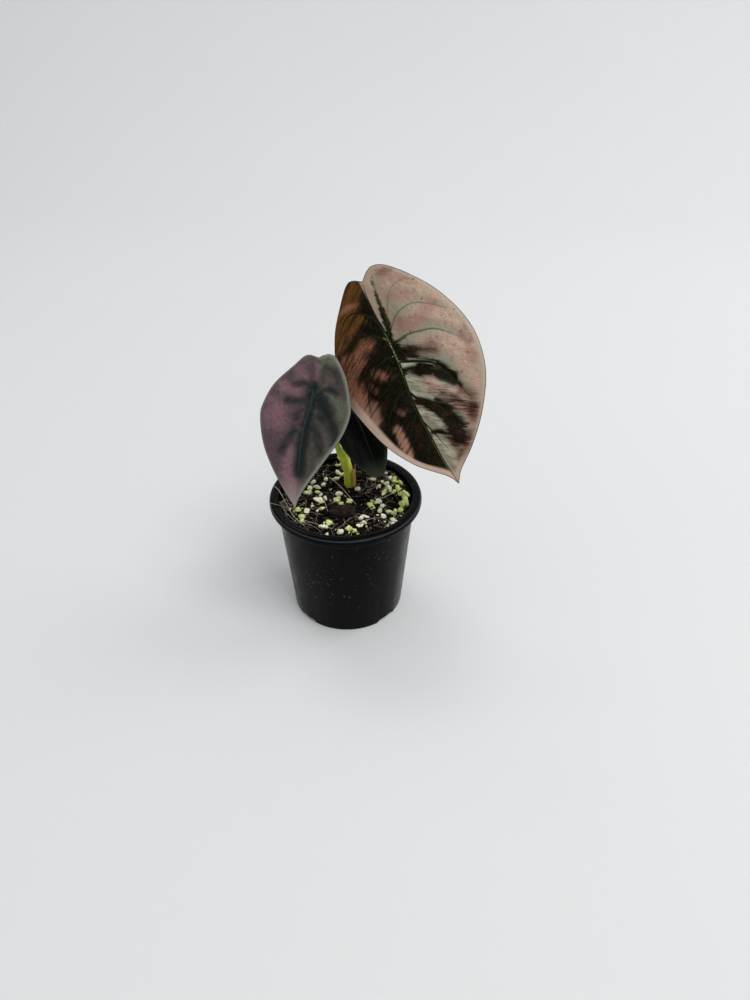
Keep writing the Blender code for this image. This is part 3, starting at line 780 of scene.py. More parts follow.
LARGE = Leaf(
    "blade_large", (26.4, 0.0, MIX_LEVEL + 113.4), -8, 32, 30.7,
    right=[(1.5, 35.5), (6, 39.5), (11, 41), (18, 37.5), (28, 26.5), (38, 11.5), (45, -7),
           (46.5, -24), (42, -43), (30.5, -62), (17, -77), (5, -87)],
    tip=(0, -94),
    left=[(-4, -87), (-18, -73), (-28.5, -56), (-35, -37), (-38.5, -20), (-36, -1.5),
          (-27.5, 16.5), (-16.5, 29.5), (-8.5, 37.5), (-4, 38.8)],
    cup_left=(0.002, 0.012), cup_right=(0.001, 0.003), arch=0.001,
    veins=[
        ([(0, 0), (0, -10), (-1, -21), (-2.5, -33), (-3, -45), (-2.5, -60), (-2, -76), (0, -93)], 1.0),
        ([(0, 0), (0, 6), (-0.5, 12), (-0.5, 20), (0, 28), (1.3, 35)], 0.85),
        ([(1, 1), (3, 5), (4.2, 11), (4.8, 19), (6, 28), (8, 36)], 0.6),
        ([(4, 7), (7, 14), (10, 20), (15, 25), (22, 26.5), (28, 24)], 0.2),
        ([(2, 1), (5, 5), (10, 9.5), (16, 11.5), (23, 11), (31, 6), (38, 0)], 0.32),
        ([(1, -3), (4, -3.5), (11, -3.2), (18, -4.5), (26, -7), (33, -13), (39, -20)], 0.5),
        ([(0, -14), (4, -16.5), (10, -19.5), (17, -24), (22, -32), (25, -41), (28, -51)], 0.95),
        ([(-2.5, -33), (0, -38), (5, -42.5), (10, -48), (13, -57), (16, -69)], 0.85),
        ([(-2.8, -52), (0, -60), (2, -68), (5, -78)], 0.5),
        ([(0, 9), (-3, 16), (-8, 20.5), (-14, 22.5), (-20, 19.5), (-25, 14)], 0.75),
        ([(-0.5, -1), (-4, 4), (-11, 7.5), (-18, 7.5), (-24, 4), (-29, -1), (-32, -9)], 0.85),
        ([(-0.5, -10.5), (-6, -10), (-13, -12), (-19, -17), (-25, -24), (-28.5, -34)], 0.9),
        ([(-2.5, -31), (-9, -33), (-15, -37), (-20, -43), (-24, -53)], 0.8),
        ([(-3, -45.5), (-8, -50), (-12, -56), (-15, -66)], 0.65),
        ([(-2.5, -62), (-6, -68), (-7, -76)], 0.5),
    ],
    marks={
        # Dark patches on the right half, crescents below the veins among them: painted shade and dark
        # reflection.
        "dark": [
            ([(4.4, 17), (3.6, 9), (3, 4)], 1.9, 1.0), ([(3.6, 9), (2.6, 4), (1, -1)], 2.3, 1.0),
            ([(1, -3.6), (5, -4.0), (9, -3.6)], 1.3, 0.7), ([(5.2, 25), (4.5, 18)], 1.5, 0.85),
            ([(6.6, 35), (5.4, 26)], 1.1, 0.62), ([(0.5, -5), (2.5, -9), (2, -15)], 4.2, 1.0),
            ([(3, -9), (7, -12), (10, -14)], 4.2, 0.85), ([(9, -10), (14, -12.5)], 2.4, 0.42),
            ([(0, -20.5), (6, -21.5), (12, -24)], 4.6, 1.25),
            ([(7, -23), (14, -25.5), (19, -30.5), (22, -37)], 4.8, 1.6),
            ([(23, -36), (26, -43)], 2.0, 0.75), ([(0, -39.5), (5, -43), (9, -48)], 3.0, 1.0),
            ([(5, -47), (10, -53), (12, -61), (12.5, -70)], 5.6, 1.0),
            ([(9, -45), (15, -53), (17, -64)], 3.6, 0.9), ([(4, -61), (8, -68), (10, -76)], 3.0, 0.55),
            ([(-0.5, -60), (3, -61.5), (6, -64)], 1.5, 0.9),
            ([(15, -43), (22, -50), (26, -58)], 4.0, 0.6),
        ],
        "warm": [
            ([(-6, 36), (-14, 28), (-22, 19), (-28, 12)], 7.5, 1.0),
            ([(-8, 28), (-15, 24), (-20, 18)], 4.0, 0.85),
            ([(-9, 17), (-16, 14.5), (-25, 9)], 3.6, 0.75),
            ([(-14, 2), (-20, -2), (-27, -8)], 5.5, 0.85),
            ([(-27, -1), (-32, -6), (-34, -14)], 6.0, 1.0),
            ([(-31, -14), (-31, -26), (-31, -38)], 5.5, 1.0), ([(-26, -31), (-28, -40)], 4.0, 0.9),
            ([(-15, -15), (-12, -18.5)], 3.6, 0.55), ([(-21, -20), (-19, -25)], 2.6, 0.4),
            ([(-18, -50), (-18.5, -58), (-19, -67)], 2.9, 1.0), ([(-13, -39), (-11, -42.5)], 2.6, 0.36),
        ],
        "shine": [
            ([(1.2, -17.3), (4, -18), (8, -19.2)], 1.9, 1.0),
            ([(7, -18.6), (12, -20.6), (18, -25)], 1.2, 0.9),
            ([(1.5, -25), (4, -29), (7, -35)], 2.8, 1.0), ([(0, -35), (4, -38.5), (8, -42)], 1.7, 0.9),
            ([(-0.8, -46), (2.5, -50), (5, -55.5), (5.5, -58)], 2.1, 1.0),
            ([(-0.2, -64), (2, -68), (3.6, -75), (4, -82)], 2.5, 0.9),
            ([(10, -33), (16, -38), (21, -44)], 3.4, 0.6), ([(17, -54), (20, -62)], 2.6, 0.4),
        ],
        "combed": [
            ([(1, -24), (5, -31), (9, -38)], 5.0, 1.0), ([(0, -45), (5, -55), (7, -64)], 4.5, 0.9),
            ([(1, -64), (4, -74), (5, -82)], 4.5, 0.9), ([(15, -44), (24, -56)], 6.5, 1.0),
            ([(13, -66), (20, -68)], 5.0, 0.9), ([(-24, -3), (-28, -14), (-27, -28)], 6.0, 0.7),
            ([(-14, 9), (-24, 6)], 4.5, 0.8), ([(4, -9), (12, -13), (19, -16)], 4.2, 0.8),
        ],
        # Partly blush, partly painted copper highlights.
        "blush_and_glint": [
            ([(-7, 24.5), (-12, 26.5), (-18, 25.5)], 2.1, 0.55), ([(-13, 14), (-20, 13)], 1.8, 0.3),
            ([(-28, -6), (-30, -17), (-31, -30)], 3.0, 0.6), ([(-18, -51), (-18.5, -61)], 1.8, 0.6),
        ],
        "rosy": [
            ([(8, 4), (20, 2), (30, 5)], 6.0, 0.75), ([(12, 21), (22, 18)], 5.5, 0.65),
            ([(14, 33), (24, 28)], 4.5, 0.6), ([(39, -18), (40, -32)], 4.0, 0.8),
            ([(10, -33), (23, -44)], 5.5, 0.9), ([(16, -50), (24, -60)], 6.0, 1.0),
            ([(20, -12), (30, -14)], 4.0, 0.6),
        ],
        "rust": [
            ([(12, 36), (19, 34)], 2.8, 0.7), ([(22, 26), (28, 22)], 2.4, 0.5),
            ([(8, -12), (15, -15), (21, -17.5)], 4.4, 0.95), ([(26, -40), (28, -47)], 2.4, 0.6),
            ([(6, -66), (9, -74)], 3.4, 0.7), ([(24, -44), (28, -52), (25, -62)], 4.6, 0.95),
            ([(5, -82), (11, -78), (19, -70)], 4.2, 0.9), ([(10, -66), (14, -74)], 4.5, 0.7),
            ([(42.5, -12), (43, -22), (41.5, -34)], 1.4, 0.45),
        ],
    },
    pillow=4.2, spread=7.5, groove=0.65, ripple=0.12, thickness=0.62, around=480, across=126)

MEDIUM = Leaf(
    "blade_medium", (-17.0, -12.0, MIX_LEVEL + 86.0), -25, 34, 2.8,
    right=[(0, 19.5), (3, 21.3), (7, 22.3), (12, 20.2), (20.5, 10), (27, -3.5), (28.5, -12),
           (25, -24), (16, -39), (8, -52), (2.2, -63)],
    tip=(0, -71),
    left=[(-2.5, -67.5), (-9, -60.5), (-17.5, -49), (-24.5, -36), (-28.5, -21), (-28, -12),
          (-23.5, 0.5), (-14, 13), (-9, 19), (-5.5, 20.2), (-2.5, 19.8)],
    cup_left=(-0.006, -0.006), cup_right=(-0.006, -0.006), arch=0.0012,
    veins=[
        ([(0, 0), (0, -7), (-1, -14), (-2, -21), (-2, -35), (-1, -50), (0, -62), (0, -70)], 1.0),
        ([(0, -4), (2, -1), (4, 3), (5, 8), (5, 14), (4.5, 20)], 0.75),
        ([(0, 0), (-2, 4), (-3, 9), (-3, 17)], 0.4),
        ([(-1, 0), (-7, 2.5), (-12, 2), (-18, -0.5), (-22, -6)], 0.55),
        ([(-0.5, -6), (-7, -8), (-13, -9), (-19, -12), (-23, -18)], 0.65),
        ([(-1.5, -16), (-7, -19.5), (-12, -24.5), (-16, -32)], 0.45),
        ([(-2, -22), (-7, -26.5), (-11, -32), (-13, -40)], 0.7),
        ([(-1.6, -42), (-5, -48), (-7, -55)], 0.35), ([(2, -1), (6, 2), (9, 6), (13, 9), (18, 7)], 0.4),
        ([(0.5, -4), (8, -2.5), (14, -4), (20, -8), (23, -15)], 0.5),
        ([(-0.5, -11), (7, -12.5), (14, -15.5), (19, -21), (21, -28)], 0.5),
        ([(-1.8, -25), (5, -28), (10, -32), (14, -39)], 0.5), ([(-1.5, -39), (4, -44), (7, -51)], 0.4),
    ],
    marks={
        "dark": [
            ([(0, 2), (0, -8), (-0.5, -20), (-1, -34), (0, -48)], 5.0, 1.0),
            ([(2, -3), (8, -7), (13, -12)], 6.0, 0.95),
            ([(8, -13), (15, -16), (20, -22), (22, -28)], 4.4, 0.8),
            ([(4, -22), (9, -27), (12, -34)], 4.5, 0.7), ([(-3, -7), (-9, -7.5), (-15, -8)], 3.2, 0.7),
            ([(-3, 3), (-7, 3.5), (-12, 1)], 2.8, 0.65), ([(-3, -22), (-9, -28), (-13, -38)], 3.8, 0.7),
            ([(-4, -12), (-7, -17)], 3.8, 0.65), ([(6, 1), (12, 2), (17, 0)], 2.6, 0.75),
            ([(6, 15), (12, 12), (16, 6)], 2.5, 0.5),
        ],
        "rosy": [
            ([(-18, -1), (-10, -2)], 4.0, 0.95), ([(-20, -12), (-17, -22)], 6.0, 0.8),
            ([(-8, -38), (-8, -50), (-3, -58)], 4.5, 0.95), ([(-10, 11), (-7, 6)], 4.0, 0.75),
            ([(-24, -10), (-24, -25)], 4.0, 0.6), ([(0.5, 15), (1, 6)], 2.2, 0.6),
            ([(12, 7), (8, 9)], 3.0, 0.4), ([(12, -24), (14, -28)], 2.6, 0.4),
        ],
        "olive": [
            ([(13, -2), (18, -5), (22, -11)], 4.5, 0.9), ([(25, -5), (26, -14), (24, -22)], 3.2, 0.8),
            ([(12, -42), (18, -32)], 3.2, 0.6), ([(12, 18), (4, 18)], 3.0, 0.8),
            ([(-8, 18), (-2, 17)], 2.5, 0.5), ([(3, -34), (5, -48)], 2.5, 0.4),
        ],
    },
    pillow=1.5, spread=6.0, groove=0.34, ripple=0.07, thickness=0.6, around=360, across=90)

SMALL = Leaf(
    "blade_small", (5.0, 6.0, MIX_LEVEL + 64.0), 5, 50, 20,
    right=[(0, 14), (4, 16), (9, 13.5), (14, 5), (16, -6), (14.5, -20), (10, -33), (4.5, -43)],
    tip=(1, -47),
    left=[(-4, -45), (-9.5, -38.5), (-14, -27), (-16, -14), (-15, -1), (-11, 9), (-5, 15.5)],
    cup_left=(0.006, 0.006), cup_right=(0.006, 0.006), arch=0.002,
    veins=[
        ([(0, 0), (0.8, -11), (0.3, -21), (0, -29), (0, -38), (0.8, -46)], 1.0),
        ([(0, 0), (1, 6), (0.5, 13)], 0.6), ([(0, -3), (6, -5), (11, -10), (13, -17)], 0.5),
        ([(0, -15), (5, -18), (9, -24), (10, -30)], 0.5),
        ([(0, -3), (-6, -5), (-11, -10), (-13, -17)], 0.5),
        ([(0, -15), (-5, -18), (-9, -24), (-9.5, -31)], 0.5),
    ],
    marks={
        "dark": [([(0, 5), (0, -20), (0, -38)], 5.0, 0.9)],
        "rosy": [([(-9, -5), (-10, -20)], 4.0, 0.6)],
        "olive": [([(8, 2), (11, -10), (9, -24)], 3.0, 0.8), ([(-5, -36), (3, -40)], 3.0, 0.6)],
    },
    pillow=1.0, spread=4.5, groove=0.35, ripple=0.04, thickness=0.55, around=240, across=60)


# ---------------------------------------------------------------- stem and petioles

def above(point):
    return np.array(point, float) + (0, 0, MIX_LEVEL)


def stem_path():
    x, y = STEM_PLACE
    points = [(x, y, -14), (x, y, -5), (x, y + 0.1, 2.5), (x - 0.8, y + 0.6, 12), STEM_TOP]
    return evenly(smooth_path([above(p) for p in points]), 48)


def make_stem():
    """The green sheath: ridged along its length, one edge lapped over the other."""
    path = stem_path()
    sides = 72
    points, faces = tube(path, np.full(len(path), 1.0), sides)
    turn = np.tile(2 * np.pi * np.arange(sides) / sides, len(path))
    t = np.repeat(np.linspace(0, 1, len(path)), sides)
    core = np.repeat(path, sides, axis=0)
    waist = STEM_WAIST * np.sin(np.pi * smoothstep(t, 0.35, 1.0))
    radius = STEM_RADIUS - waist + 0.15 * smoothstep(t, 0.8, 1)
    lap = (turn + 0.9 * t + 1.1) % (2 * np.pi) / (2 * np.pi)
    radius = radius + 0.38 * (1 - lap) - 0.15
    radius += 0.06 * np.sin(11 * turn + 2 * np.sin(3 * t))
    points = core + (points - core) * radius[:, None]
    lean = smoothstep(t, 0.86, 1.0) * 2.6 * np.cos(turn - 0.6)
    points[:, 2] += np.minimum(lean, 0.4)
    stem = add_mesh("stem_sheath", points, faces,
                    plant_skin("stem", (0.78, 0.84, 0.09), (0.54, 0.65, 0.05), 0.30))
    return belongs(stem, "stem", "stem")


def make_petiole(leaf, name, node, start, route, foot, top):
    """A stalk that rises inside the sheath and swells a little where it meets the blade."""
    facing = leaf.turn @ (0, 0, 1)
    join = leaf.attach + leaf.underside() * facing
    neck, end = join - 5 * facing, join + 0.2 * facing
    low = above((STEM_PLACE[0] + 0.3 * start[0], STEM_PLACE[1] + 0.3 * start[1], 8))
    inside = above((STEM_TOP[0] + start[0], STEM_TOP[1] + start[1], STEM_TOP[2]))
    points = [low, inside, *(above(p) for p in route), neck, end]
    path = evenly(smooth_path(points), 90)
    t = np.linspace(0, 1, len(path))
    rise = np.linalg.norm(path - path[0], axis=1) + 8
    radii = foot + (top - foot) * t + 0.9 * smoothstep(t, 0.955, 1.0)
    radii = radii + 0.55 * smoothstep(rise, 46.0, 24.0)
    points, faces = tube(path, radii, 24)
    skin = plant_skin(name, (0.15, 0.20, 0.045), (0.085, 0.085, 0.035), 0.36, 340,
                      (0.54, 0.64, 0.07))
    stalk = add_mesh(name, points, faces, skin, values={"rise": np.repeat(rise, 24)})
    return belongs(stalk, "petiole", node)


def make_old_sheath():
    """A dry papery strip down the stem's right side, with a torn top."""
    rng = random.Random(5)
    first, last = math.radians(-78), math.radians(38)
    high, wide = 40, 26
    rows = []
    for k in range(high + 1):
        t = k / high
        narrow = 0.20 * t
        angles = np.linspace(first + (last - first) * narrow, last - (last - first) * narrow, wide)
        curl = 0.35 * t * t + 0.10 * np.sin(9 * angles + 5 * t)
        radius = SHEATH_RADIUS + curl
        tear = 1.6 * t * np.sin(5.3 * angles) + rng.uniform(-0.1, 0.1)
        x = STEM_PLACE[0] - 0.2 * t + radius * np.cos(angles)
        y = STEM_PLACE[1] + radius * np.sin(angles)
        rows.append(np.column_stack([x, y, np.full(wide, MIX_LEVEL - 0.5 + SHEATH_HEIGHT * t) + tear]))
    inner = np.vstack(rows)
    out = inner - (*STEM_PLACE, 0)
    out[:, 2] = 0
    out /= np.linalg.norm(out, axis=1)[:, None]
    outer = inner + SHEATH_THICKNESS * out
    n = (high + 1) * wide
    lines = [list(range(k * wide, (k + 1) * wide)) for k in range(high + 1)]
    faces = [f for a, b in zip(lines, lines[1:]) for f in strip_faces(a, b, closed=False)]
    under = [tuple(i + n for i in f[::-1]) for f in faces]
    loop = lines[0] + [r[-1] for r in lines[1:-1]] + lines[-1][::-1] + [r[0] for r in
                                                                      lines[-2:0:-1]]
    rim = strip_faces(loop, [i + n for i in loop])
    strip = add_mesh("old_leaf_base", np.vstack([inner, outer]),
                     [f[::-1] for f in faces + under] + rim,
                     earthy("dry_sheath", (0.33, 0.26, 0.045), (0.46, 0.33, 0.08), 300, 0.0002,
                            0.75))
    return belongs(strip, "dry_sheath", "old_sheath")


# ---------------------------------------------------------------- potting mix and what lies in it

def ground(spots):
    """Height of the mix's surface at 2-D points."""
    spots = np.atleast_2d(np.asarray(spots, float))
    away = np.hypot(*spots.T)
    coarse = bumps(spots, 7.0, 1.3, 3)
    fine = bumps(spots, 1.7, 8.1, 3)
    level = MIX_LEVEL - 0.6 - MIX_FALL * (away / MIX_RADIUS) ** 2
    return level + 0.9 * coarse + 0.35 * fine


def make_mix():
    rings, around, depth = 150, 420, 30.0
    radius = np.linspace(0, MIX_RADIUS - 0.05, rings + 1)[1:]
    turn = 2 * np.pi * np.arange(around) / around
    flat = np.vstack([[(0, 0)], *(r * np.column_stack([np.cos(turn), np.sin(turn)])
                                  for r in radius)])
    top = np.column_stack([flat, ground(flat)])
    foot_radius = wall_radius(MIX_LEVEL - depth) - WALL - 0.3
    foot = np.column_stack([foot_radius * np.cos(turn), foot_radius * np.sin(turn),
                            np.full(around, MIX_LEVEL - depth)])
    rows = [list(range(1 + k * around, 1 + (k + 1) * around)) for k in range(rings + 1)]
    faces = [(0, rows[0][k], rows[0][(k + 1) % around]) for k in range(around)]
    for a, b in zip(rows, rows[1:]):
        faces += [f[::-1] for f in strip_faces(a, b)]
    points = np.vstack([top, foot])
    faces.append(rows[-1][::-1])
    mix = add_mesh("soil", points, faces,
                   earthy("potting_mix", (0.0015, 0.0012, 0.0008), (0.010, 0.006, 0.004), 220,
                          0.0004, gloss=0.1))
    return belongs(mix, "potting_mix", "potting_mix")


def scatter(rng, count, reach, clear=3.9):
    """Random places over the mix, clear of the stem."""
    places = []
    while len(places) < count:
        x, y = rng.uniform(-reach, reach), rng.uniform(-reach, reach)
        if math.hypot(x, y) < reach and math.dist((x, y), STEM_PLACE) > clear:
            places.append((x, y))
    return places


def make_crumbs(name, slot, rng, places, sizes, flat, material, level=2, sink=0.25, grain=0.0):
    """One piece made of many loose lumps lying on the mix."""
    parts = []
    for (x, y), z in zip(places, ground(places)):
        size = rng.uniform(0, 1) ** 2 * (sizes[1] - sizes[0]) + sizes[0]
        shape = (size * rng.uniform(0.9, 1.6), size * rng.uniform(0.6, 1.0), size * flat)
        points, faces = lump(rng, shape, level, grain=grain)
        points = turned(points, rng.uniform(-0.5, 0.5), rng.uniform(-0.5, 0.5),
                        rng.uniform(0, math.tau))
        room = MIX_RADIUS - 0.2 - np.hypot(*points[:, :2].T).max()
        away = math.hypot(x, y)
        if away > room:
            x, y = x * room / away, y * room / away
        parts.append((points + (x, y, z + (0.5 - sink) * size * flat), faces))
    return loose_piece(name, slot, parts, material)


FIBRE_STEP = 1.2                # length of one straight run of a fibre
FIBRE_STEM_GAP = 4.6            # from the stem's middle


def fibre(rng, start, bearing, length, radius, curl, lift, sides=6):
    """A thin root or husk fibre wandering over the mix."""
    steps = max(6, int(length / FIBRE_STEP))
    place, spots = np.array(start, float), []
    for _ in range(steps + 1):
        spots.append(place.copy())
        bearing += rng.gauss(0, curl)
        ahead = np.array([math.cos(bearing), math.sin(bearing)])
        if np.hypot(*(place + ahead * FIBRE_STEP)) > MIX_RADIUS - FIBRE_STEP:
            bearing += 0.5 * math.pi
            ahead = np.array([math.cos(bearing), math.sin(bearing)])
        away = place + ahead * length / steps - STEM_PLACE
        if np.hypot(*away) < FIBRE_STEM_GAP:
            ahead = away / np.hypot(*away)
        place = place + ahead * length / steps
    spots = np.array(spots)
    t = np.linspace(0, 1, len(spots))
    rise = lift * np.sin(np.pi * np.clip(t * rng.uniform(0.8, 1.6), 0, 1)) ** 2
    path = np.column_stack([spots, ground(spots) + 0.25 + rise])
    path = smooth_path(path, 3)
    radii = radius * (0.5 + 0.5 * np.sin(np.pi * np.linspace(0.06, 0.94, len(path))))
    return tube(path, radii, sides)


def make_fibres(name, rng, count, lengths, radii, curl, material, tufts=()):
    """Loose fibres all over the mix, and more round each tuft's (x, y, count)."""
    reach = MIX_RADIUS - 3
    places = scatter(rng, count, reach, 5.5)
    for x, y, share in tufts:
        places += [(x + rng.gauss(0, 4), y + rng.gauss(0, 5)) for _ in range(share)]
    parts = []
    for x, y in places:
        away = math.hypot(x, y)
        if away > reach:
            x, y = x * reach / away, y * reach / away
        parts.append(fibre(rng, (x, y), rng.uniform(0, math.tau), rng.uniform(*lengths),
                           rng.uniform(*radii), curl, rng.uniform(0.3, 1.8)))
    return loose_piece(name, "potting_mix", parts, material)


TUFTS = [(-40, -4, 22), (-34, -18, 14), (18, 20, 26), (20, 6, 18), (21, -20, 20), (32, 26, 18),
         (-12, 30, 8), (0, -30, 10)]


def make_straws():
    """A few long stiff roots: two lie across the mix, and some lean on the rim."""
    straws = [
        ([(-12, 21, 1.0), (-7, 14, 1.4), (-2.5, 7, 1.6), (2, -1, 1.3), (7, -9, 0.2)], 0.25),
        ([(-48, 5, 5.0), (-44.5, 1, 4.4), (-40, -7, 2.0), (-33, -22, 0.9), (-25, -32, 0.5)], 0.28),
        ([(-49, -14, 5.2), (-44, -14.5, 4.2), (-38, -14, 1.6), (-30, -13.5, 0.3)], 0.20),
        ([(-43, -9, 2.4), (-38, -19, 1.4), (-30, -29, 0.6)], 0.17),
        ([(-30, -24, 0.5), (-18, -30, 0.6), (-8, -34, 0.1)], 0.20),
        ([(14, -9, 0.5), (22, -5, 1.2), (31, 3, 0.4)], 0.21),
        ([(8, -31, 0.2), (17, -25, 0.9), (27, -23, 0.2)], 0.17),
        ([(25, -34, 0.5), (31, -25, 1.0), (35, -13, 0.4)], 0.17),
        ([(-20, 1, 0.2), (-14, -7, 1.0), (-11, -17, 0.1)], 0.18),
        ([(13, 30, 0.4), (22, 24, 1.6), (33, 20, 0.6)], 0.17),
        ([(20, 33, 0.6), (27, 26, 1.4), (29, 15, 0.4)], 0.16),
    ]
    parts = []
    for points, radius in straws:
        path = smooth_path([(x, y, MIX_LEVEL + z) for x, y, z in points], 10)
        radii = radius * (1 + 0.12 * np.sin(np.arange(len(path)) * 1.7))
        parts.append(tube(path, radii, 10))
    finish = earthy("straw", (0.30, 0.24, 0.18), (0.62, 0.54, 0.44), 500, 0.0002, 0.8)
    return loose_piece("root_straws", "potting_mix", parts, finish)


def make_bark():
    low, high = corners_mm("bark_chunk")
    way, faces = BALLS[5]
    block = way * ((np.abs(way) ** 4.5).sum(1) ** (-1 / 4.5))[:, None]
    block = block * (1 + 0.10 * bumps(way, 0.8, 21.0))[:, None]
    points = fitted(block, low - (0, 0, 0.8), high - (0, 0, 0.3))
    ridges = 0.42 * np.sin(points[:, 0] * 4.4 + 1.3 * np.sin(points[:, 1] * 0.5))
    points[:, 2] += ridges * (block[:, 2] > 0.2) + 0.8 * bumps(points, 2.4, 4.0)
    bark = add_mesh("bark_piece", points, faces,
                    earthy("bark", (0.005, 0.003, 0.0025), (0.042, 0.024, 0.018), 260, 0.0006,
                           gloss=0.15))
    return belongs(bark, "bark", "bark_chunk")


LOOSE_CHIPS = [
    (-14, 18), (-15, 13), (-23, 16), (-20, 10), (-17, 1), (-4, 1), (2, -7), (8, 8), (30, 21),
    (33, 18), (37, 16), (35, 10), (38, 3), (40, 1), (40, -4), (37, -9),
]


def make_chips():
    """The perlite pieces that the CAD model places, each a broken porous lump."""
    slots = {part["node"]: part["material_slot"] for part in frame["record"]["subparts"]}
    white = perlite("perlite_white", (0.90, 0.87, 0.68), (0.76, 0.78, 0.42), 0.5)
    green = perlite("perlite_green", (0.80, 0.82, 0.42), (0.54, 0.66, 0.13), 0.7)
    around = {"chip_white": [], "chip_green": []}
    for node in sorted(n for n in frame["nodes"] if n.startswith("chip_")):
        rng = random.Random(node)
        low, high = corners_mm(node)
        points, faces = lump(rng, high - low, 4, planes=8, sharpness=26, grain=0.05)
        points = fitted(turned(points, rng.uniform(-0.3, 0.3), rng.uniform(-0.3, 0.3), 0),
                        low - (0, 0, 0.5), high)
        slot = slots[node]
        finish = white if slot == "chip_white" else green
        piece = add_mesh(node.replace("chip", "perlite"), points, faces, finish)
        belongs(piece, slot, node)
        around[slot].append((low + high) / 2)
    rng = random.Random(33)
    for slot, name, material in (("chip_white", "perlite_crumbs_white", white),
                                 ("chip_green", "perlite_crumbs_green", green)):
        near = [(x + rng.gauss(0, 2.6), y + rng.gauss(0, 2.6)) for x, y, _ in around[slot]
                for _ in range(4)]
        more = [spot for spot in LOOSE_CHIPS if (spot[0] > 30) == (slot == "chip_green")]
        make_crumbs(name, slot, rng, near + scatter(rng, 34, MIX_RADIUS - 2), (0.8, 4.2), 0.8,
                    material, 3, 0.1, 0.05)
        make_crumbs(name + "_large", slot, rng, more, (3.8, 5.6), 0.8, material, 3, 0.0, 0.05)


DUST_COUNT, DUST_RADIUS = 130, 0.036
DUST_LOW, DUST_HIGH = 8, 78     # heights on the pot


def make_dust():
    """Short pale hairs and specks that cling to the pot's outside."""
    rng = random.Random(17)
    parts = []
    for k in range(DUST_COUNT):
        z = rng.uniform(DUST_LOW, DUST_HIGH)
        angle = rng.uniform(0, math.tau)
        if k % 3 == 0:
            z, angle = rng.gauss(44, 12), math.radians(rng.gauss(-112, 12))
        elif k % 5 == 0:
            z, angle = rng.gauss(64, 8), math.radians(rng.gauss(-62, 10))
        z = min(max(z, DUST_LOW), DUST_HIGH)
        length = rng.uniform(0.4, 1.2) if k % 2 else rng.uniform(1.0, 3.2)
        heading, steps = rng.uniform(0, math.tau), 9
        run, rise, places = 0.0, 0.0, []
        for _ in range(steps):
            places.append((run, rise))
            heading += rng.gauss(0, 0.5)
            run += math.cos(heading) * length / steps
            rise += math.sin(heading) * length / steps
        path = []
        for run, rise in places:
            radius = wall_radius(z + rise) + 0.06
            path.append((radius * math.cos(angle + run / radius),
                         radius * math.sin(angle + run / radius), z + rise))
        parts.append(tube(smooth_path(path, 2), DUST_RADIUS, 5))
    finish = earthy("dust", (0.26, 0.25, 0.22), (0.46, 0.44, 0.40), 400, 0.00005, 0.9)
    return loose_piece("dust_hairs", "potting_mix", parts, finish)


# ---------------------------------------------------------------- stage, light and camera

CAMERA_PLACE = (0.0195, -0.395, 0.379)   # metres
CAMERA_PITCH = math.radians(53.26)
CAMERA_LENS = 26.5
LIGHTS = [                      # name, place, size in metres, watts; all aim at the plant
    ("key", (0.9, -0.9, 2.2), (1.4, 1.0), 26),
    ("right", (1.6, 0.5, 1.2), (1.0, 1.2), 9),
    ("back", (-0.7, 1.0, 1.8), (1.0, 0.8), 7),
]
LIGHT_AIM = (0, 0, 0.12)
PAPER_CURVE = [(0.5 * math.sin(a), 0.5 - 0.5 * math.cos(a))
               for a in np.linspace(0.1, math.pi / 2, 12)]


def make_stage():
    """A plain pale floor that curves up into a backdrop."""
    profile = [(-3.0, 0.0), (-0.6, 0.0), (0.3, 0.0), (0.9, 0.0)]
    profile += [(0.9 + y, z) for y, z in PAPER_CURVE] + [(1.4, 3)]
    points = [(x, y, z) for y, z in profile for x in (-3, 3)]
    faces = [(2 * k, 2 * k + 1, 2 * k + 3, 2 * k + 2) for k in range(len(profile) - 1)]
    g = Graph("studio_paper")
    cloud = g.noise(g.place(), 1.5, 2)
    g.set(Base_Color=g.mix(cloud, (0.757, 0.764, 0.766), (0.787, 0.794, 0.796)), Roughness=0.9,
          Specular_IOR_Level=0.1)
    floor = add_mesh("studio_floor", np.array(points) / MM, faces, g.material)


def add_light(name, place, size, power):
    light = bpy.data.lights.new(name, "AREA")
    light.shape = "RECTANGLE"
    light.size, light.size_y = size
    light.energy = power
    lamp = bpy.data.objects.new(name, light)
    lamp.location = place
    lamp.rotation_euler = (Vector(LIGHT_AIM) - Vector(place)).to_track_quat("-Z", "Y").to_euler()
    scene.collection.objects.link(lamp)


def make_lights():
    world = bpy.data.worlds.new("studio")
    scene.world = world
    world.use_nodes = True
    sky = world.node_tree.nodes["Background"]
    sky.inputs["Color"].default_value = (0.88, 0.89, 0.905, 1)
    sky.inputs["Strength"].default_value = 0.45
    for light in LIGHTS:
        add_light(*light)


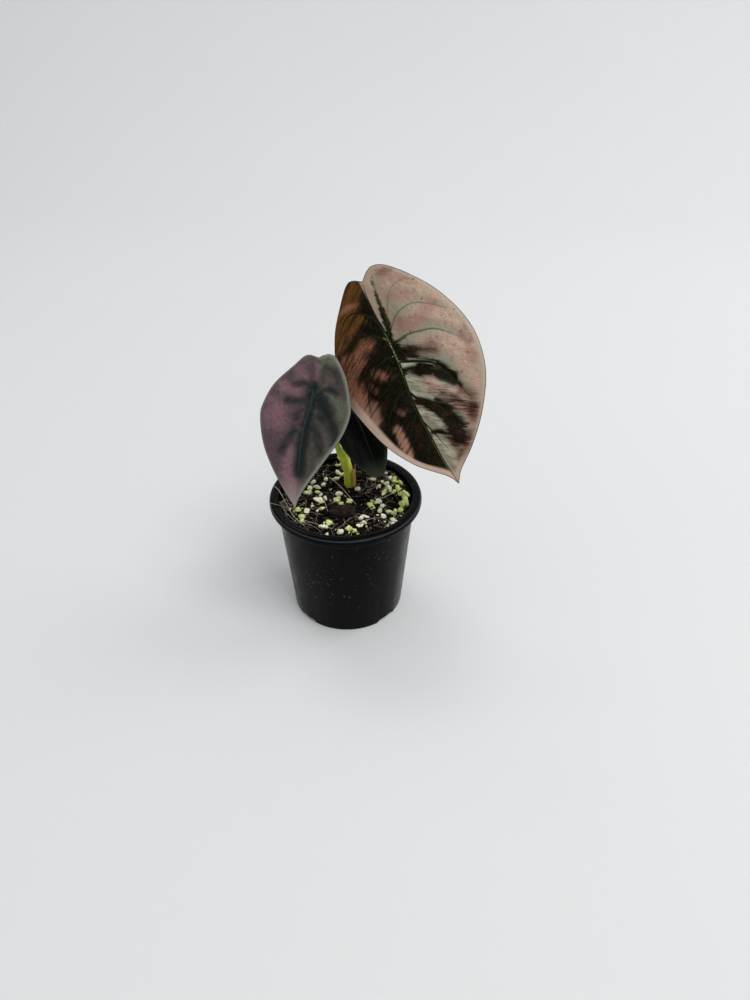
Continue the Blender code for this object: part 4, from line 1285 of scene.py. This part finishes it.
def make_camera():
    data = bpy.data.cameras.new("view")
    data.lens, data.sensor_width = CAMERA_LENS, 36.0
    data.clip_start = 0.01
    camera = bpy.data.objects.new("view", data)
    camera.location = CAMERA_PLACE
    camera.rotation_euler = (CAMERA_PITCH, 0, 0)
    scene.collection.objects.link(camera)
    scene.camera = camera


make_pot()
make_mix()
mix_rng = random.Random(11)
dark = earthy("dark_crumb", (0.002, 0.0015, 0.001), (0.013, 0.007, 0.005), 300, 0.0003, gloss=0.1)
brown = earthy("brown_crumb", (0.018, 0.008, 0.006), (0.060, 0.029, 0.020), 300, 0.0003)
make_crumbs("dark_crumbs", "potting_mix", mix_rng, scatter(mix_rng, 950, MIX_RADIUS - 1.5),
            (0.8, 4.6), 0.6, dark)
make_crumbs("brown_crumbs", "potting_mix", mix_rng, scatter(mix_rng, 90, MIX_RADIUS - 1.5),
            (0.8, 3.4), 0.4, brown)
make_fibres("root_fibres_pale", mix_rng, 110, (6, 22), (0.05, 0.12), 0.28,
            earthy("pale_root", (0.30, 0.23, 0.17), (0.60, 0.52, 0.42), 400, 0.0001, 0.85), TUFTS)
make_fibres("root_fibres_dark", mix_rng, 90, (6, 26), (0.1, 0.22), 0.25,
            earthy("dark_root", (0.016, 0.009, 0.006), (0.06, 0.034, 0.021), 400, 0.0001, 0.85))
make_straws()
make_bark()
make_chips()
make_dust()
make_leaf(LARGE, "leaf_large", "leaf_large", large_finish)
make_leaf(MEDIUM, "leaf_medium", "leaf_medium", medium_finish)
make_leaf(SMALL, "leaf_small", "leaf_small", small_finish)
make_stem()
make_old_sheath()
make_petiole(LARGE, "stalk_large", "petiole_large", (1.4, 1.2),
             [(5.5, 21.5, 51.5), (18, 21, 85.5)], 1.6, 1.4)
make_petiole(MEDIUM, "stalk_medium", "petiole_medium", (-1.9, 0.3),
             [(-8, 14.5, 40.5), (-14.5, 5, 63.5)], 1.6, 1.2)
make_petiole(SMALL, "stalk_small", "petiole_small", (0.5, -1.9),
             [(1.5, 14, 38), (4.6, 12.5, 50.5)], 1.3, 1.1)

make_stage()
make_lights()
make_camera()
scene.view_settings.view_transform = "Standard"
